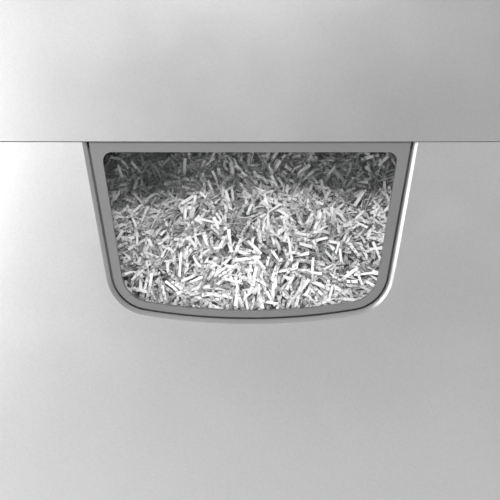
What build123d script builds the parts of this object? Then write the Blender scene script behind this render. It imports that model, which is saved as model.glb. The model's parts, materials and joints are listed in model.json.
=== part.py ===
from build123d import *

import os
from math import acos, cos, pi, radians, sin, sqrt, tan

# Office micro-cut paper shredder with a pull-out bin, built piece by piece.
#
# Millimetres, +Z up, front towards -Y, origin on the floor under the middle of the machine.
# The cutting head sits on an open-fronted cabinet. A bin with a D-shaped window slides out on
# rails, and four twin-wheel castors carry the cabinet.

os.makedirs("parts", exist_ok=True)

# ---------------------------------------------------------------- driving sizes
# Overall form
cabinet_width = 370.0
seam_height = 440.0          # lower edge of the head's skirt
head_height = 140.0
head_overhang = 3.0          # how far the head stands out past the cabinet sides
head_front_overhang = 1.0    # how far the head stands out past the bin front
bow_radius = 2850.0          # bow of the bin front, seen from above
head_wall = 2.8
head_top_round = 8.0
head_plan_corner = 18.0
head_lip = 0.3               # rounding of the head's lower edge
slope_run = 68.0             # depth of the sloping control facet
slope_angle = 20.0
slope_break_round = 24.0

# Castors and base
wheel_radius = 20.0
castor_headroom = 8.0        # from the top of a wheel to the plinth's underside, less the gap
wheel_width = 11.0
castor_trail = 12.0
castor_side_inset = 50.0     # from the cabinet's side to a castor's stem
castor_rear_inset = 46.0
castor_web = 6.0
stem_radius = 4.0
axle_radius = 3.0
plinth_height = 30.0
plinth_wall = 3.0
plinth_deck = 4.0
plinth_front_setback = 8.0
plinth_rib_x = 60.0

# Cabinet
cabinet_wall = 3.0
cabinet_corner = 20.0
cabinet_rear = 134.0
grip_height = 300.0
grip_length = 100.0
grip_depth = 24.0

# Bin
bin_front_apex = -135.0      # apex of the bowed bin front
bin_front_wall = 3.0
bin_front_depth = 22.0
bin_front_corner = 14.0
bin_gap_under_head = 0.4
bin_gap_over_plinth = 5.0
bucket_side_gap = 10.0       # between the bucket and the cabinet's walls
bucket_rear_gap = 15.0
bucket_wall = 2.4
bucket_corner = 12.0
bucket_rim_gap = 8.0         # from the bucket's rim up to the seam
bucket_lift = 3.0            # height of the bucket's floor over the plinth deck
rail_width = 16.0
rail_length = 210.0
rail_inset = 30.0            # from the bucket's side to a rail
bin_screw_inset = 35.0       # from the cabinet's side to the outer screws
bin_screw_rise = 45.0        # from the bin front's lower edge
bin_screw_drop = 32.0        # from the bucket's rim
heap_front_drop = 62.0       # from the bucket's rim down to the paper
heap_peak_drop = 12.0
heap_rear_drop = 34.0

# Window in the bin front
window_half_width = 101.0    # of the opening, at the seam
window_side_slope = 0.1686   # sideways run of the sides for each millimetre of height
window_depth = 111.0         # from the seam to the lowest point of the opening
window_bow = 400.0           # radius of the curved lower edge
window_corner = 25.0
window_chamfer = 2.6
window_rim = 5.0             # width of the stiffening rim behind the opening
window_rim_back = 6.5        # from the bin front's face to the back of that rim
frame_gap = 1.5
frame_recess = 1.0
frame_flange = 1.8
sight_half_width = 92.7      # of the clear area inside the frame
sight_side_slope = 0.151
sight_depth = 105.5
sight_corner = 19.0
sight_top = 6.6              # depth of the frame's top bar under the seam
sight_top_corner = 5.4
pane_thickness = 2.0
pane_lap = 3.0

# Feed throat
throat_width = 226.0
throat_mouth = 13.0          # half the gap at the top
throat_gap = 3.4             # half the gap between the guide plates
throat_wall = 2.8
throat_bezel_height = 2.0
throat_bezel_depth = 44.0
throat_neck_drop = 34.0      # from the head's top
throat_foot_rise = 24.0      # from the cutter axes
throat_bezel_overlap = 14.0  # of the bezel past each end of the slot

# Cutting block
cutter_rise = 40.0           # from the head's tray to the cutter axes
cutter_distance = 38.0       # between the two cutter axes
disc_radius = 21.0
core_radius = 15.0
disc_pitch = 4.0             # between discs of one cutter, so strips are 2 mm wide
disc_thickness = 1.7
disc_count = 57
grooves = 8                  # along each cutter, which cut the strips into 16 mm lengths
groove_depth = 3.4
journal_radius = 6.0
bearing_outer = 10.0
running_gap = 0.05
seat_gap = 0.03
chassis_gauge = 3.0
chassis_inner = 123.0        # half the distance between the chassis plates
chassis_half_depth = 48.0
chassis_rise = 45.0          # from the cutter axes
tie_rod_radius = 5.0
tie_rod_reach = (40.0, 29.0)  # from the cutting block's centre, along Y and Z
comb_finger = 1.6
comb_reach = 0.7             # from a finger's tip to the cutter's core
comb_bar = 6.0

# Drive train
sync_module, sync_teeth = 2.0, 19
drive_module, drive_teeth = 1.25, 44
step_module, step_small, step_large, pinion_teeth = 1.0, 15, 57, 15
pressure_angle = radians(20.0)
addendum, dedendum = 0.8, 1.1
backlash = 0.24
sync_width = 12.0
drive_width = 10.0
step_width = 7.0
gear_stack_gap = 1.5
idler_pin_radius = 4.0
motor_radius = 33.0
motor_wall = 2.0
motor_length = 90.0
motor_bell = 5.0
motor_shaft_radius = 3.0
armature_radius = 22.0
fan_radius = 28.0
fan_blades = 7

# Small parts
tray_floor = 6.0
tray_rim = 14.0
tray_wall = 2.5
outlet_width = 236.0
outlet_depth = 60.0
screw_radius = 2.0
screw_head_radius = 4.0
screw_head = 2.2
panel_width, panel_depth, panel_gauge = 132.0, 32.0, 1.6
button_radius = 6.0
button_clear = 0.3
button_travel = 1.2
button_places = {"power_button": -50.0, "reverse_button": -22.0, "forward_button": 2.0}
led_radius = 2.0
led_places = (27.0, 35.0, 43.0, 51.0)
interlock_reach = 1.0        # of the interlock's plunger below the head's tray
board_gauge = 1.6
inlet_inset = 48.0           # from the head's side to the mains inlet
switch_pitch = 42.0          # from the mains inlet to the mains switch
rear_kit_rise = 38.0         # from the seam
flange_gauge = 3.0           # of the mains inlet and the mains switch
vent_start, vent_rise = 30.0, 60.0
cover_screw_side, cover_screw_front, cover_screw_rear = 23.0, 40.0, 25.0
deck_screw_inset, deck_screw_y = 6.8, 60.0
foot_screw_y = 38.0

# ---------------------------------------------------------------- worked out from those
half_cabinet = cabinet_width / 2
half_head = half_cabinet + head_overhang
head_top = seam_height + head_height
head_front = bin_front_apex - head_front_overhang
head_rear = cabinet_rear + head_overhang
bow_centre = bin_front_apex + bow_radius
castor_height = 2 * wheel_radius + castor_headroom
castor_x = half_cabinet - castor_side_inset
castor_y = cabinet_rear - castor_rear_inset
plinth_base = castor_height + 2.0
plinth_top = plinth_base + plinth_height
bin_front_base = plinth_top + bin_gap_over_plinth
bin_front_top = seam_height - bin_gap_under_head
bin_front_back = bin_front_apex + bin_front_depth
bucket_base = plinth_top + bucket_lift
bucket_rim = seam_height - bucket_rim_gap
bucket_half_width = half_cabinet - cabinet_wall - bucket_side_gap
bucket_rear = cabinet_rear - cabinet_wall - bucket_rear_gap
bucket_front = bin_front_apex + window_rim_back + frame_flange + 0.4
tray_base = seam_height + 1.0
tray_top = tray_base + tray_floor
slope_start = head_front + slope_run
cutter_height = tray_top + cutter_rise
cutter_axis_y = cutter_distance / 2
chassis_top = cutter_height + chassis_rise
throat_neck_height = head_top - throat_neck_drop
throat_foot_height = cutter_height + throat_foot_rise
inlet_x = inlet_inset - half_head
switch_x = inlet_x + switch_pitch
rear_kit_height = seam_height + rear_kit_rise
chassis_outer = chassis_inner + chassis_gauge
idler_y = cutter_axis_y + drive_module * (drive_teeth + step_small) / 2
motor_y = idler_y + step_module * (step_large + pinion_teeth) / 2
drive_start = chassis_outer + 1.0
step_start = drive_start + drive_width + gear_stack_gap
motor_end = chassis_inner
motor_start = motor_end - motor_length
slope_normal = (0.0, -sin(radians(slope_angle)), cos(radians(slope_angle)))
facet = Plane(
    origin=(0, slope_start - slope_run / 2, head_top - slope_run / 2 * tan(radians(slope_angle))),
    x_dir=(1, 0, 0),
    z_dir=slope_normal,
)


def finish(builder, name):
    """Labels one finished piece and writes it as its own STEP file."""
    builder.part.label = name
    export_step(builder.part, f"parts/{name}.step")


def bow_sag(apex, x):
    """How far a bowed surface with this apex has fallen back at x."""
    radius = bow_centre - apex
    return radius - sqrt(radius**2 - x**2)


def plan_face(half_width, front, rear, front_corner, rear_corner):
    """Plan outline with a bowed front edge and rounded corners."""
    shoulder = front + bow_sag(front, half_width)
    with BuildSketch(mode=Mode.PRIVATE) as plan:
        with BuildLine():
            ThreePointArc((-half_width, shoulder), (0, front), (half_width, shoulder))
            Polyline(
                (half_width, shoulder), (half_width, rear), (-half_width, rear), (-half_width, shoulder)
            )
        make_face()
        if front_corner > 0:
            fillet(plan.vertices().group_by(Axis.Y)[0], front_corner)
        if rear_corner > 0:
            fillet(plan.vertices().group_by(Axis.Y)[-1], rear_corner)
    return plan.sketch


def bowed_slab(front, back):
    """Upright slab between two bowed surfaces, larger than any front piece that it trims."""
    reach = cabinet_width
    with BuildPart(mode=Mode.PRIVATE) as slab:
        with BuildSketch():
            with BuildLine():
                ThreePointArc((-reach, front + bow_sag(front, reach)), (0, front),
                              (reach, front + bow_sag(front, reach)))
                Line((reach, front + bow_sag(front, reach)), (reach, back + bow_sag(back, reach)))
                ThreePointArc((reach, back + bow_sag(back, reach)), (0, back),
                              (-reach, back + bow_sag(back, reach)))
                Line((-reach, back + bow_sag(back, reach)), (-reach, front + bow_sag(front, reach)))
            make_face()
        extrude(amount=head_top)
    return slab.part


def d_face(half_width, slope, depth, corner, top, grow=0.0, top_corner=0.0):
    """D-shaped face in XZ: sloping sides, curved lower edge, level top; grow widens it all round."""
    start = half_width + grow * sqrt(1 + slope**2)
    radius = window_bow + grow
    drop = depth - window_bow
    a = 1 + slope**2
    b = start * slope + drop
    c = start**2 + drop**2 - radius**2
    low = (-b - sqrt(b**2 - a * c)) / a
    low_x, low_z = start + low * slope, seam_height + low
    top_x = start - (seam_height - top) * slope
    with BuildSketch(mode=Mode.PRIVATE) as shape:
        with BuildLine():
            Line((-low_x, low_z), (-top_x, top))
            Line((-top_x, top), (top_x, top))
            Line((top_x, top), (low_x, low_z))
            ThreePointArc((low_x, low_z), (0, seam_height - depth - grow), (-low_x, low_z))
        make_face()
        fillet(shape.vertices().group_by(Axis.Y)[0], corner + grow)
        if top_corner > 0:
            fillet(shape.vertices().group_by(Axis.Y)[-1], top_corner + grow)
    return shape.sketch


def opening_face(grow=0.0, top=bin_front_top):
    """The opening in the bin front, out through its top edge."""
    return d_face(window_half_width, window_side_slope, window_depth, window_corner, top, grow)


def sight_face(grow=0.0, top=None):
    """The clear area that the window frame leaves."""
    level = seam_height - sight_top + grow if top is None else top
    return d_face(sight_half_width, sight_side_slope, sight_depth, sight_corner, level, grow,
                  sight_top_corner if top is None else 0.0)


def front_block(face, front, back):
    """A face in XZ carried through the depth between two bowed surfaces."""
    slab = bowed_slab(front, back)
    with BuildPart(mode=Mode.PRIVATE) as block:
        with BuildSketch(Plane.XZ):
            add(face)
        extrude(amount=-head_front + 10)
        add(slab, mode=Mode.INTERSECT)
    return block.part


def head_form(inset, base):
    """The head's outer shape drawn in by inset: bowed front, sloping control facet, rounded top."""
    plan = plan_face(half_head - inset, head_front + inset, head_rear - inset,
                     head_plan_corner - inset, head_plan_corner - inset)
    slope = tan(radians(slope_angle))
    level = head_top - inset
    break_y = slope_start + inset * tan(radians(slope_angle / 2))
    reach = 200.0
    with BuildPart(mode=Mode.PRIVATE) as form:
        with BuildSketch(Plane.XY.offset(base)):
            add(plan)
        extrude(amount=level - base)
        with BuildSketch(Plane.YZ):
            Polygon((reach, base), (reach, level), (break_y, level),
                    (-reach, level - (break_y + reach) * slope), (-reach, base), align=None)
        extrude(amount=reach * 2, both=True, mode=Mode.INTERSECT)
        crest = form.edges().filter_by(Axis.X).filter_by_position(Axis.Y, break_y - 1, break_y + 1)
        fillet(crest, slope_break_round - inset)
        upper = form.faces().filter_by(lambda f: f.normal_at().Z > 0.5)
        rim = [e for e in upper.edges() if abs(e.tangent_at(0.5).X) < 0.999 or
               e.center().Y > head_rear - inset - 1 or e.center().Y < head_front + inset + 20]
        fillet(rim, head_top_round - inset)
    return form.part


def gear_face(teeth, module, turn):
    """Involute gear outline about the sketch origin; one tooth is centred on the angle turn."""
    pitch_r = teeth * module / 2
    base_r = pitch_r * cos(pressure_angle)
    tip_r = pitch_r + addendum * module
    root_r = pitch_r - dedendum * module
    half_tooth = pi / (2 * teeth) - backlash / (2 * pitch_r) + tan(pressure_angle) - pressure_angle

    def flank(radius):
        """Angle from the tooth's centre line to its flank at this radius."""
        a = acos(min(1.0, base_r / radius))
        return half_tooth - (tan(a) - a)

    radii = (root_r, max(base_r, root_r + 0.1), pitch_r, tip_r)
    points = []
    for tooth in range(teeth):
        centre = radians(turn) + 2 * pi * tooth / teeth
        rise = [(r, centre - flank(r)) for r in radii]
        fall = [(r, centre + flank(r)) for r in reversed(radii)]
        points += [(r * cos(t), r * sin(t)) for r, t in rise + fall]
    with BuildSketch(mode=Mode.PRIVATE) as outline:
        with BuildLine():
            Polyline(*points, close=True)
        make_face()
    return outline.sketch


def shaft_plane(x, y, z=cutter_height):
    """Sketch plane square to X with its origin on a shaft's axis."""
    return Plane(origin=(x, y, z), x_dir=(0, 1, 0), z_dir=(1, 0, 0))


# ---------------------------------------------------------------- cabinet
cabinet_outer = plan_face(half_cabinet, bin_front_apex + plinth_front_setback, cabinet_rear,
                          bin_front_corner, cabinet_corner)
cabinet_inner = plan_face(half_cabinet - plinth_wall, bin_front_apex + plinth_front_setback + plinth_wall,
                          cabinet_rear - plinth_wall, bin_front_corner - plinth_wall,
                          cabinet_corner - plinth_wall)
castor_spots = [(x, y) for y in (-castor_y, castor_y) for x in (-castor_x, castor_x)]
boss_radius = stem_radius + 5.0

with BuildPart() as base_plinth:
    with BuildSketch(Plane.XY.offset(plinth_base)):
        add(cabinet_outer)
    extrude(amount=plinth_height)
    with BuildSketch(Plane.XY.offset(plinth_base)):
        add(cabinet_inner)
    extrude(amount=plinth_height - plinth_deck, mode=Mode.SUBTRACT)
    with BuildSketch(Plane.XY.offset(plinth_base + 1)):
        with Locations(*castor_spots):
            Circle(boss_radius)
    extrude(amount=plinth_height - plinth_deck)
    with BuildSketch(Plane.XY.offset(plinth_base + 1)):
        with Locations(*castor_spots):
            Circle(stem_radius + running_gap)
    extrude(amount=plinth_height - plinth_deck - 1, mode=Mode.SUBTRACT)
    for rib_x in (-plinth_rib_x, plinth_rib_x):
        with BuildSketch(Plane.XY.offset(plinth_base + 6)):
            with Locations((rib_x, 0)):
                Rectangle(3, 2 * castor_y)
        extrude(amount=plinth_height - plinth_deck - 6)
finish(base_plinth, "base_plinth")

shell_height = tray_base - plinth_top
shell_front = bin_front_back + 1.0
flange_width = 9.0
with BuildPart() as cabinet_shell:
    with BuildSketch(Plane.XY.offset(plinth_top)):
        add(plan_face(half_cabinet, shell_front, cabinet_rear, 0, cabinet_corner))
        add(plan_face(half_cabinet - cabinet_wall, shell_front - 10, cabinet_rear - cabinet_wall,
                      0, cabinet_corner - cabinet_wall), mode=Mode.SUBTRACT)
    extrude(amount=shell_height)
    with BuildSketch(Plane.XY.offset(tray_base - 4)):
        add(plan_face(half_cabinet - 1, shell_front, cabinet_rear - 1, 0, cabinet_corner - 1))
        add(plan_face(half_cabinet - flange_width, shell_front - 10, cabinet_rear - flange_width,
                      0, cabinet_corner - flange_width), mode=Mode.SUBTRACT)
    extrude(amount=4)
    with BuildSketch(Plane.YZ):
        with Locations((shell_front, grip_height)):
            SlotOverall(grip_length, grip_depth * 2, rotation=90)
    extrude(amount=half_cabinet + 5, both=True, mode=Mode.SUBTRACT)
finish(cabinet_shell, "cabinet_shell")

rail_x = bucket_half_width - rail_inset
with BuildPart() as bin_rails:
    with BuildSketch(Plane.XY.offset(plinth_top)):
        with Locations((-rail_x, 0), (rail_x, 0)):
            RectangleRounded(rail_width, rail_length, 4)
    extrude(amount=bucket_lift - 0.2)
finish(bin_rails, "bin_rails")

# ---------------------------------------------------------------- castors
collar_radius = 7.0
hood_radius = wheel_radius + 4.0
hood_half_width = wheel_width + castor_web / 2 + 1.5
for label, (cx, cy) in zip(("front_left", "front_right", "rear_left", "rear_right"), castor_spots):
    wheel_y = cy + castor_trail
    hub = shaft_plane(cx, wheel_y, wheel_radius)
    with BuildPart() as castor_fork:
        with BuildSketch(hub):
            Circle(hood_radius)
        extrude(amount=hood_half_width, both=True)
        with BuildSketch(hub):
            Circle(wheel_radius + 1.5)
        extrude(amount=hood_half_width + 1, both=True, mode=Mode.SUBTRACT)
        with BuildSketch(hub):
            with Locations((0, -hood_radius)):
                Rectangle(3 * hood_radius, 2 * hood_radius)
            with Locations((hood_radius, 4)):
                Rectangle(hood_radius, hood_radius)
        extrude(amount=hood_half_width + 1, both=True, mode=Mode.SUBTRACT)
        with BuildSketch(hub):
            Circle(axle_radius + 4)
            Polygon((-axle_radius - 4, 0), (axle_radius + 4, 0), (0, wheel_radius + 2),
                    (-castor_trail - 6, wheel_radius + 2), align=None)
            Circle(axle_radius + seat_gap, mode=Mode.SUBTRACT)
        extrude(amount=castor_web / 2, both=True)
        with BuildSketch(Plane.XY.offset(castor_height - 7)):
            with Locations((cx, cy)):
                Circle(hood_half_width - 1)
        extrude(amount=5)
        with BuildSketch(Plane.XY.offset(castor_height - 2)):
            with Locations((cx, cy)):
                Circle(collar_radius)
        extrude(amount=4)
        with BuildSketch(Plane.XY.offset(castor_height)):
            with Locations((cx, cy)):
                Circle(stem_radius)
        extrude(amount=plinth_height - plinth_deck)
    finish(castor_fork, f"castor_fork_{label}")

    with BuildPart() as castor_wheels:
        for side in (-1, 1):
            with BuildSketch(Plane(origin=(cx + side * (castor_web / 2 + 0.5), wheel_y, wheel_radius),
                                   x_dir=(0, 1, 0), z_dir=(side, 0, 0))):
                Circle(wheel_radius)
                Circle(axle_radius + seat_gap, mode=Mode.SUBTRACT)
            extrude(amount=wheel_width)
        rims = castor_wheels.edges().filter_by(GeomType.CIRCLE).group_by(SortBy.RADIUS)[-1]
        fillet(rims, 2.5)
    finish(castor_wheels, f"castor_wheels_{label}")

    with BuildPart() as castor_axle:
        with BuildSketch(hub):
            Circle(axle_radius)
        extrude(amount=castor_web / 2 + wheel_width, both=True)
    finish(castor_axle, f"castor_axle_{label}")


# ---------------------------------------------------------------- bin
heap_gap = 0.5
rim_back = bin_front_apex + window_rim_back
frame_face = bin_front_apex + frame_recess
frame_back = rim_back + frame_flange
flange_top = bin_front_top - bin_front_wall - 0.3
boss_x = half_cabinet - bin_screw_inset
boss_low = bin_front_base + bin_screw_rise
boss_high = bucket_rim - bin_screw_drop
boss_places = [(x * boss_x, boss_low) for x in (-1, -0.4, 0.4, 1)]
boss_places += [(x * boss_x, boss_high) for x in (-1, 1)]


def on_front_edge(edge):
    """True for an edge where the opening meets the bin front's outer surface."""
    middle = edge.position_at(0.5)
    surface = bin_front_apex + bow_sag(bin_front_apex, middle.X)
    inside = abs(middle.X) < window_half_width + 1 and middle.Z > seam_height - window_depth - 1
    return abs(middle.Y - surface) < 0.2 and inside and middle.Z < bin_front_top - 1


with BuildSketch(mode=Mode.PRIVATE) as boss_rings:
    with Locations(*boss_places):
        Circle(screw_head_radius + 1)
        Circle(screw_radius + seat_gap, mode=Mode.SUBTRACT)

with BuildPart() as bin_front:
    with BuildSketch(Plane.XY.offset(bin_front_base)):
        add(plan_face(half_cabinet, bin_front_apex, bin_front_back, bin_front_corner, 0))
    extrude(amount=bin_front_top - bin_front_base)
    with BuildSketch(Plane.XY.offset(bin_front_base + bin_front_wall)):
        add(plan_face(half_cabinet - bin_front_wall, bin_front_apex + bin_front_wall, bin_front_back + 5,
                      bin_front_corner - bin_front_wall, 0))
    extrude(amount=bin_front_top - bin_front_base - 2 * bin_front_wall, mode=Mode.SUBTRACT)
    with BuildSketch(Plane.XY.offset(bin_front_base)):
        add(plan_face(bucket_half_width + heap_gap, bucket_front - 0.3, bin_front_back + 5, bucket_corner, 0))
    extrude(amount=bin_front_wall, mode=Mode.SUBTRACT)
    add(front_block(opening_face(window_rim), bin_front_apex + 1, rim_back))
    add(front_block(opening_face(), head_front - 5, bin_front_back + 5), mode=Mode.SUBTRACT)
    chamfer(bin_front.edges().filter_by(on_front_edge), window_chamfer)
    add(front_block(boss_rings.sketch, bin_front_apex + bin_front_wall / 2, bucket_front))
finish(bin_front, "bin_front")

with BuildPart() as window_frame:
    add(front_block(opening_face(-frame_gap), frame_face, frame_back))
    add(front_block(opening_face(pane_lap, flange_top), rim_back + seat_gap, frame_back))
    add(front_block(sight_face(), head_front, frame_back + 5), mode=Mode.SUBTRACT)
    add(front_block(sight_face(pane_lap + seat_gap), frame_back - pane_thickness, frame_back + 5),
        mode=Mode.SUBTRACT)
finish(window_frame, "window_frame")

with BuildPart() as window_pane:
    add(front_block(sight_face(pane_lap), frame_back - pane_thickness + seat_gap, frame_back))
finish(window_pane, "window_pane")

with BuildPart() as bin_bucket:
    with BuildSketch(Plane.XY.offset(bucket_base)):
        add(plan_face(bucket_half_width, bucket_front, bucket_rear, bucket_corner, bucket_corner))
    extrude(amount=bucket_rim - bucket_base)
    with BuildSketch(Plane.XY.offset(bucket_base + bucket_wall)):
        add(plan_face(bucket_half_width - bucket_wall, bucket_front + bucket_wall,
                      bucket_rear - bucket_wall, bucket_corner - bucket_wall, bucket_corner - bucket_wall))
    extrude(amount=bucket_rim, mode=Mode.SUBTRACT)
    add(front_block(sight_face(pane_lap - 1, bucket_rim + 5), bucket_front - 3, bucket_front + 10),
        mode=Mode.SUBTRACT)
    with BuildSketch(Plane.XZ):
        with Locations(*boss_places):
            Circle(screw_radius + seat_gap)
    extrude(amount=-bin_front_apex, mode=Mode.SUBTRACT)
finish(bin_bucket, "bin_bucket")

with BuildPart() as bin_screws:
    for boss_x, boss_z in boss_places:
        wall_back = bucket_front + bow_sag(bucket_front, abs(boss_x) + screw_head_radius) + bucket_wall
        with BuildSketch(Plane.XZ.offset(-wall_back)):
            with Locations((boss_x, boss_z)):
                Circle(screw_head_radius)
        extrude(amount=-screw_head)
        with BuildSketch(Plane.XZ.offset(-wall_back)):
            with Locations((boss_x, boss_z)):
                Circle(screw_radius)
        extrude(amount=bucket_wall + 4)
finish(bin_screws, "bin_screws")

heap_half_width = bucket_half_width - bucket_wall - heap_gap
heap_front = bucket_front + bucket_wall + heap_gap + screw_head
heap_rear = bucket_rear - bucket_wall - heap_gap
heap_base = bucket_base + bucket_wall + 0.3
heap_front_height = bucket_rim - heap_front_drop
heap_peak_height = bucket_rim - heap_peak_drop
heap_rear_height = bucket_rim - heap_rear_drop
heap_peak_y = -15.0
heap_side_drop = 24.0
heap_crown = 60.0            # half the length of the heap's level top
heap_shoulder = 80.0         # where the heap starts to fall towards its sides
with BuildPart() as shredded_paper:
    with BuildSketch(Plane.XY.offset(heap_base)):
        add(plan_face(heap_half_width, heap_front, heap_rear, bucket_corner, bucket_corner))
    extrude(amount=heap_peak_height)
    with BuildSketch(Plane.YZ):
        Polygon((heap_front, 0), (heap_front, heap_front_height),
                (heap_peak_y - heap_crown, heap_peak_height), (heap_peak_y + heap_crown, heap_peak_height),
                (heap_rear, heap_rear_height), (heap_rear, 0), align=None)
    extrude(amount=half_cabinet, both=True, mode=Mode.INTERSECT)
    with BuildSketch(Plane.XZ):
        Polygon((-half_cabinet, 0), (half_cabinet, 0), (half_cabinet, heap_peak_height - heap_side_drop),
                (heap_shoulder, heap_peak_height + 2), (-heap_shoulder, heap_peak_height + 2),
                (-half_cabinet, heap_peak_height - heap_side_drop), align=None)
    extrude(amount=half_cabinet, both=True, mode=Mode.INTERSECT)
finish(shredded_paper, "shredded_paper")

# ---------------------------------------------------------------- head casing
cover_boss_x = half_head - cover_screw_side
deck_screw_x = half_cabinet - deck_screw_inset
cover_bosses = [(x, y) for y in (head_front + cover_screw_front, head_rear - cover_screw_rear)
                for x in (-cover_boss_x, cover_boss_x)]
deck_screws = [(x, y) for y in (-deck_screw_y, deck_screw_y) for x in (-deck_screw_x, deck_screw_x)]
throat_outer = throat_mouth + throat_wall
guide_outer = throat_gap + throat_wall
throat_end = throat_width / 2 + throat_wall
vent_count, vent_pitch, vent_width, vent_height = 14, 7.0, 3.0, 34.0
inlet_width, inlet_depth_in, inlet_rise = 29.0, 20.0, 21.5
inlet_ears = [(inlet_x + sx * 20, rear_kit_height) for sx in (-1, 1)]
bezel_width, bezel_rise = 19.0, 29.0
pocket_depth = 1.0

with BuildPart(mode=Mode.PRIVATE) as boss_posts:
    with BuildSketch(Plane.XY.offset(tray_top)):
        with Locations(*cover_bosses):
            Circle(screw_head_radius + 1)
    extrude(amount=head_height)
    add(head_form(head_wall / 2, seam_height), mode=Mode.INTERSECT)
    with BuildSketch(Plane.XY.offset(tray_top)):
        with Locations(*cover_bosses):
            Circle(screw_radius + seat_gap)
    extrude(amount=12, mode=Mode.SUBTRACT)

with BuildPart() as head_cover:
    add(head_form(0, seam_height))
    add(head_form(head_wall, seam_height - 1), mode=Mode.SUBTRACT)
    fillet(head_cover.faces().sort_by(Axis.Z)[0].outer_wire().edges(), head_lip)
    add(boss_posts.part)
    with BuildSketch(Plane.XY.offset(head_top + 1)):
        Rectangle(2 * throat_end + 0.6, 2 * throat_outer + 0.6)
    extrude(amount=-head_wall - 5, mode=Mode.SUBTRACT)
    with BuildSketch(facet.offset(-pocket_depth)):
        RectangleRounded(panel_width + 0.4, panel_depth + 0.4, 5.2)
    extrude(amount=5, mode=Mode.SUBTRACT)
    with BuildSketch(facet.offset(2)):
        with Locations(*[(x, 0) for x in button_places.values()]):
            Circle(button_radius + button_clear)
        with Locations(*[(x, 0) for x in led_places]):
            Circle(led_radius + seat_gap)
    extrude(amount=-head_wall - 4, mode=Mode.SUBTRACT)
    with BuildSketch(Plane.XZ.offset(-head_rear - 1)):
        with Locations((inlet_x, rear_kit_height)):
            Rectangle(inlet_width + 0.4, inlet_rise + 0.4)
        with Locations((switch_x, rear_kit_height)):
            Rectangle(bezel_width + 0.4, bezel_rise + 0.4)
        with Locations(*inlet_ears):
            Circle(screw_radius + seat_gap)
        with Locations(*[(vent_start + vent_pitch * n, seam_height + vent_rise) for n in range(vent_count)]):
            SlotOverall(vent_height, vent_width, rotation=90)
    extrude(amount=head_wall + 3, mode=Mode.SUBTRACT)
finish(head_cover, "head_cover")

tray_plan = plan_face(half_head - head_wall - 0.3, head_front + head_wall + 0.3, head_rear - head_wall - 0.3,
                      head_plan_corner - head_wall, head_plan_corner - head_wall)
tray_inside = plan_face(half_head - head_wall - 0.3 - tray_wall, head_front + head_wall + 0.3 + tray_wall,
                        head_rear - head_wall - 0.3 - tray_wall, head_plan_corner - head_wall - tray_wall,
                        head_plan_corner - head_wall - tray_wall)
interlock_place = (boss_x, head_front + 18.0)
board_width, board_depth = 100.0, 62.0
board_x, board_y = -60.0, head_rear - 45.0
board_lift = 6.0
board_face = tray_top + board_lift + board_gauge
board_blocks = (((-28, 12), (28, 24), 22), ((6, 14), (20, 16), 16), ((32, 12), (16, 26), 18))
board_posts = [(board_x + sx * (board_width / 2 - 6), board_y + sy * (board_depth / 2 - 6))
               for sx in (-1, 1) for sy in (-1, 1)]
with BuildPart() as head_tray:
    with BuildSketch(Plane.XY.offset(tray_base)):
        add(tray_plan)
        Rectangle(outlet_width, outlet_depth, mode=Mode.SUBTRACT)
        with Locations(*cover_bosses, *deck_screws):
            Circle(screw_radius + seat_gap, mode=Mode.SUBTRACT)
        with Locations(interlock_place):
            Circle(2.0, mode=Mode.SUBTRACT)
    extrude(amount=tray_floor)
    with BuildSketch(Plane.XY.offset(tray_top)):
        add(tray_plan)
        add(tray_inside, mode=Mode.SUBTRACT)
    extrude(amount=tray_rim)
    with BuildSketch(Plane.XY.offset(tray_top)):
        Rectangle(outlet_width + 2 * tray_wall, outlet_depth + 2 * tray_wall)
        Rectangle(outlet_width, outlet_depth, mode=Mode.SUBTRACT)
    extrude(amount=5)
    with BuildSketch(Plane.XY.offset(tray_top)):
        with Locations(*board_posts):
            Circle(3)
    extrude(amount=board_lift)
finish(head_tray, "head_tray")

with BuildPart() as feed_throat:
    with BuildSketch(Plane.YZ):
        Polygon((throat_outer, head_top), (guide_outer, throat_neck_height),
                (guide_outer, throat_foot_height), (-guide_outer, throat_foot_height),
                (-guide_outer, throat_neck_height), (-throat_outer, head_top), align=None)
    extrude(amount=throat_end, both=True)
    with BuildSketch(Plane.XY.offset(head_top)):
        RectangleRounded(throat_width + 2 * throat_bezel_overlap, throat_bezel_depth, 6)
    extrude(amount=throat_bezel_height)
    fillet(feed_throat.faces().sort_by(Axis.Z)[-1].edges(), 1.4)
    with BuildSketch(Plane.YZ):
        Polygon((throat_mouth, head_top + 5), (throat_mouth, head_top), (throat_gap, throat_neck_height),
                (throat_gap, throat_foot_height - 1), (-throat_gap, throat_foot_height - 1),
                (-throat_gap, throat_neck_height), (-throat_mouth, head_top),
                (-throat_mouth, head_top + 5), align=None)
    extrude(amount=throat_width / 2, both=True, mode=Mode.SUBTRACT)
    fillet(feed_throat.edges().filter_by(Axis.X).group_by(Axis.Z)[-1].sort_by(Axis.Y)[1:3], 1.2)
finish(feed_throat, "feed_throat")

with BuildPart() as paper_sensors:
    for side in (-1, 1):
        with BuildSketch(Plane.XY.offset(throat_foot_height + 10)):
            with Locations((0, side * (guide_outer + 4.1))):
                Rectangle(14, 8)
        extrude(amount=12)
finish(paper_sensors, "paper_sensors")

with BuildPart() as interlock_switch:
    with BuildSketch(Plane.XY.offset(tray_top)):
        with Locations(interlock_place):
            Rectangle(20, 7)
    extrude(amount=10)
    with BuildSketch(Plane.XY.offset(tray_top)):
        with Locations(interlock_place):
            Circle(1.5)
    extrude(amount=-tray_floor - interlock_reach)
finish(interlock_switch, "interlock_switch")

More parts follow.
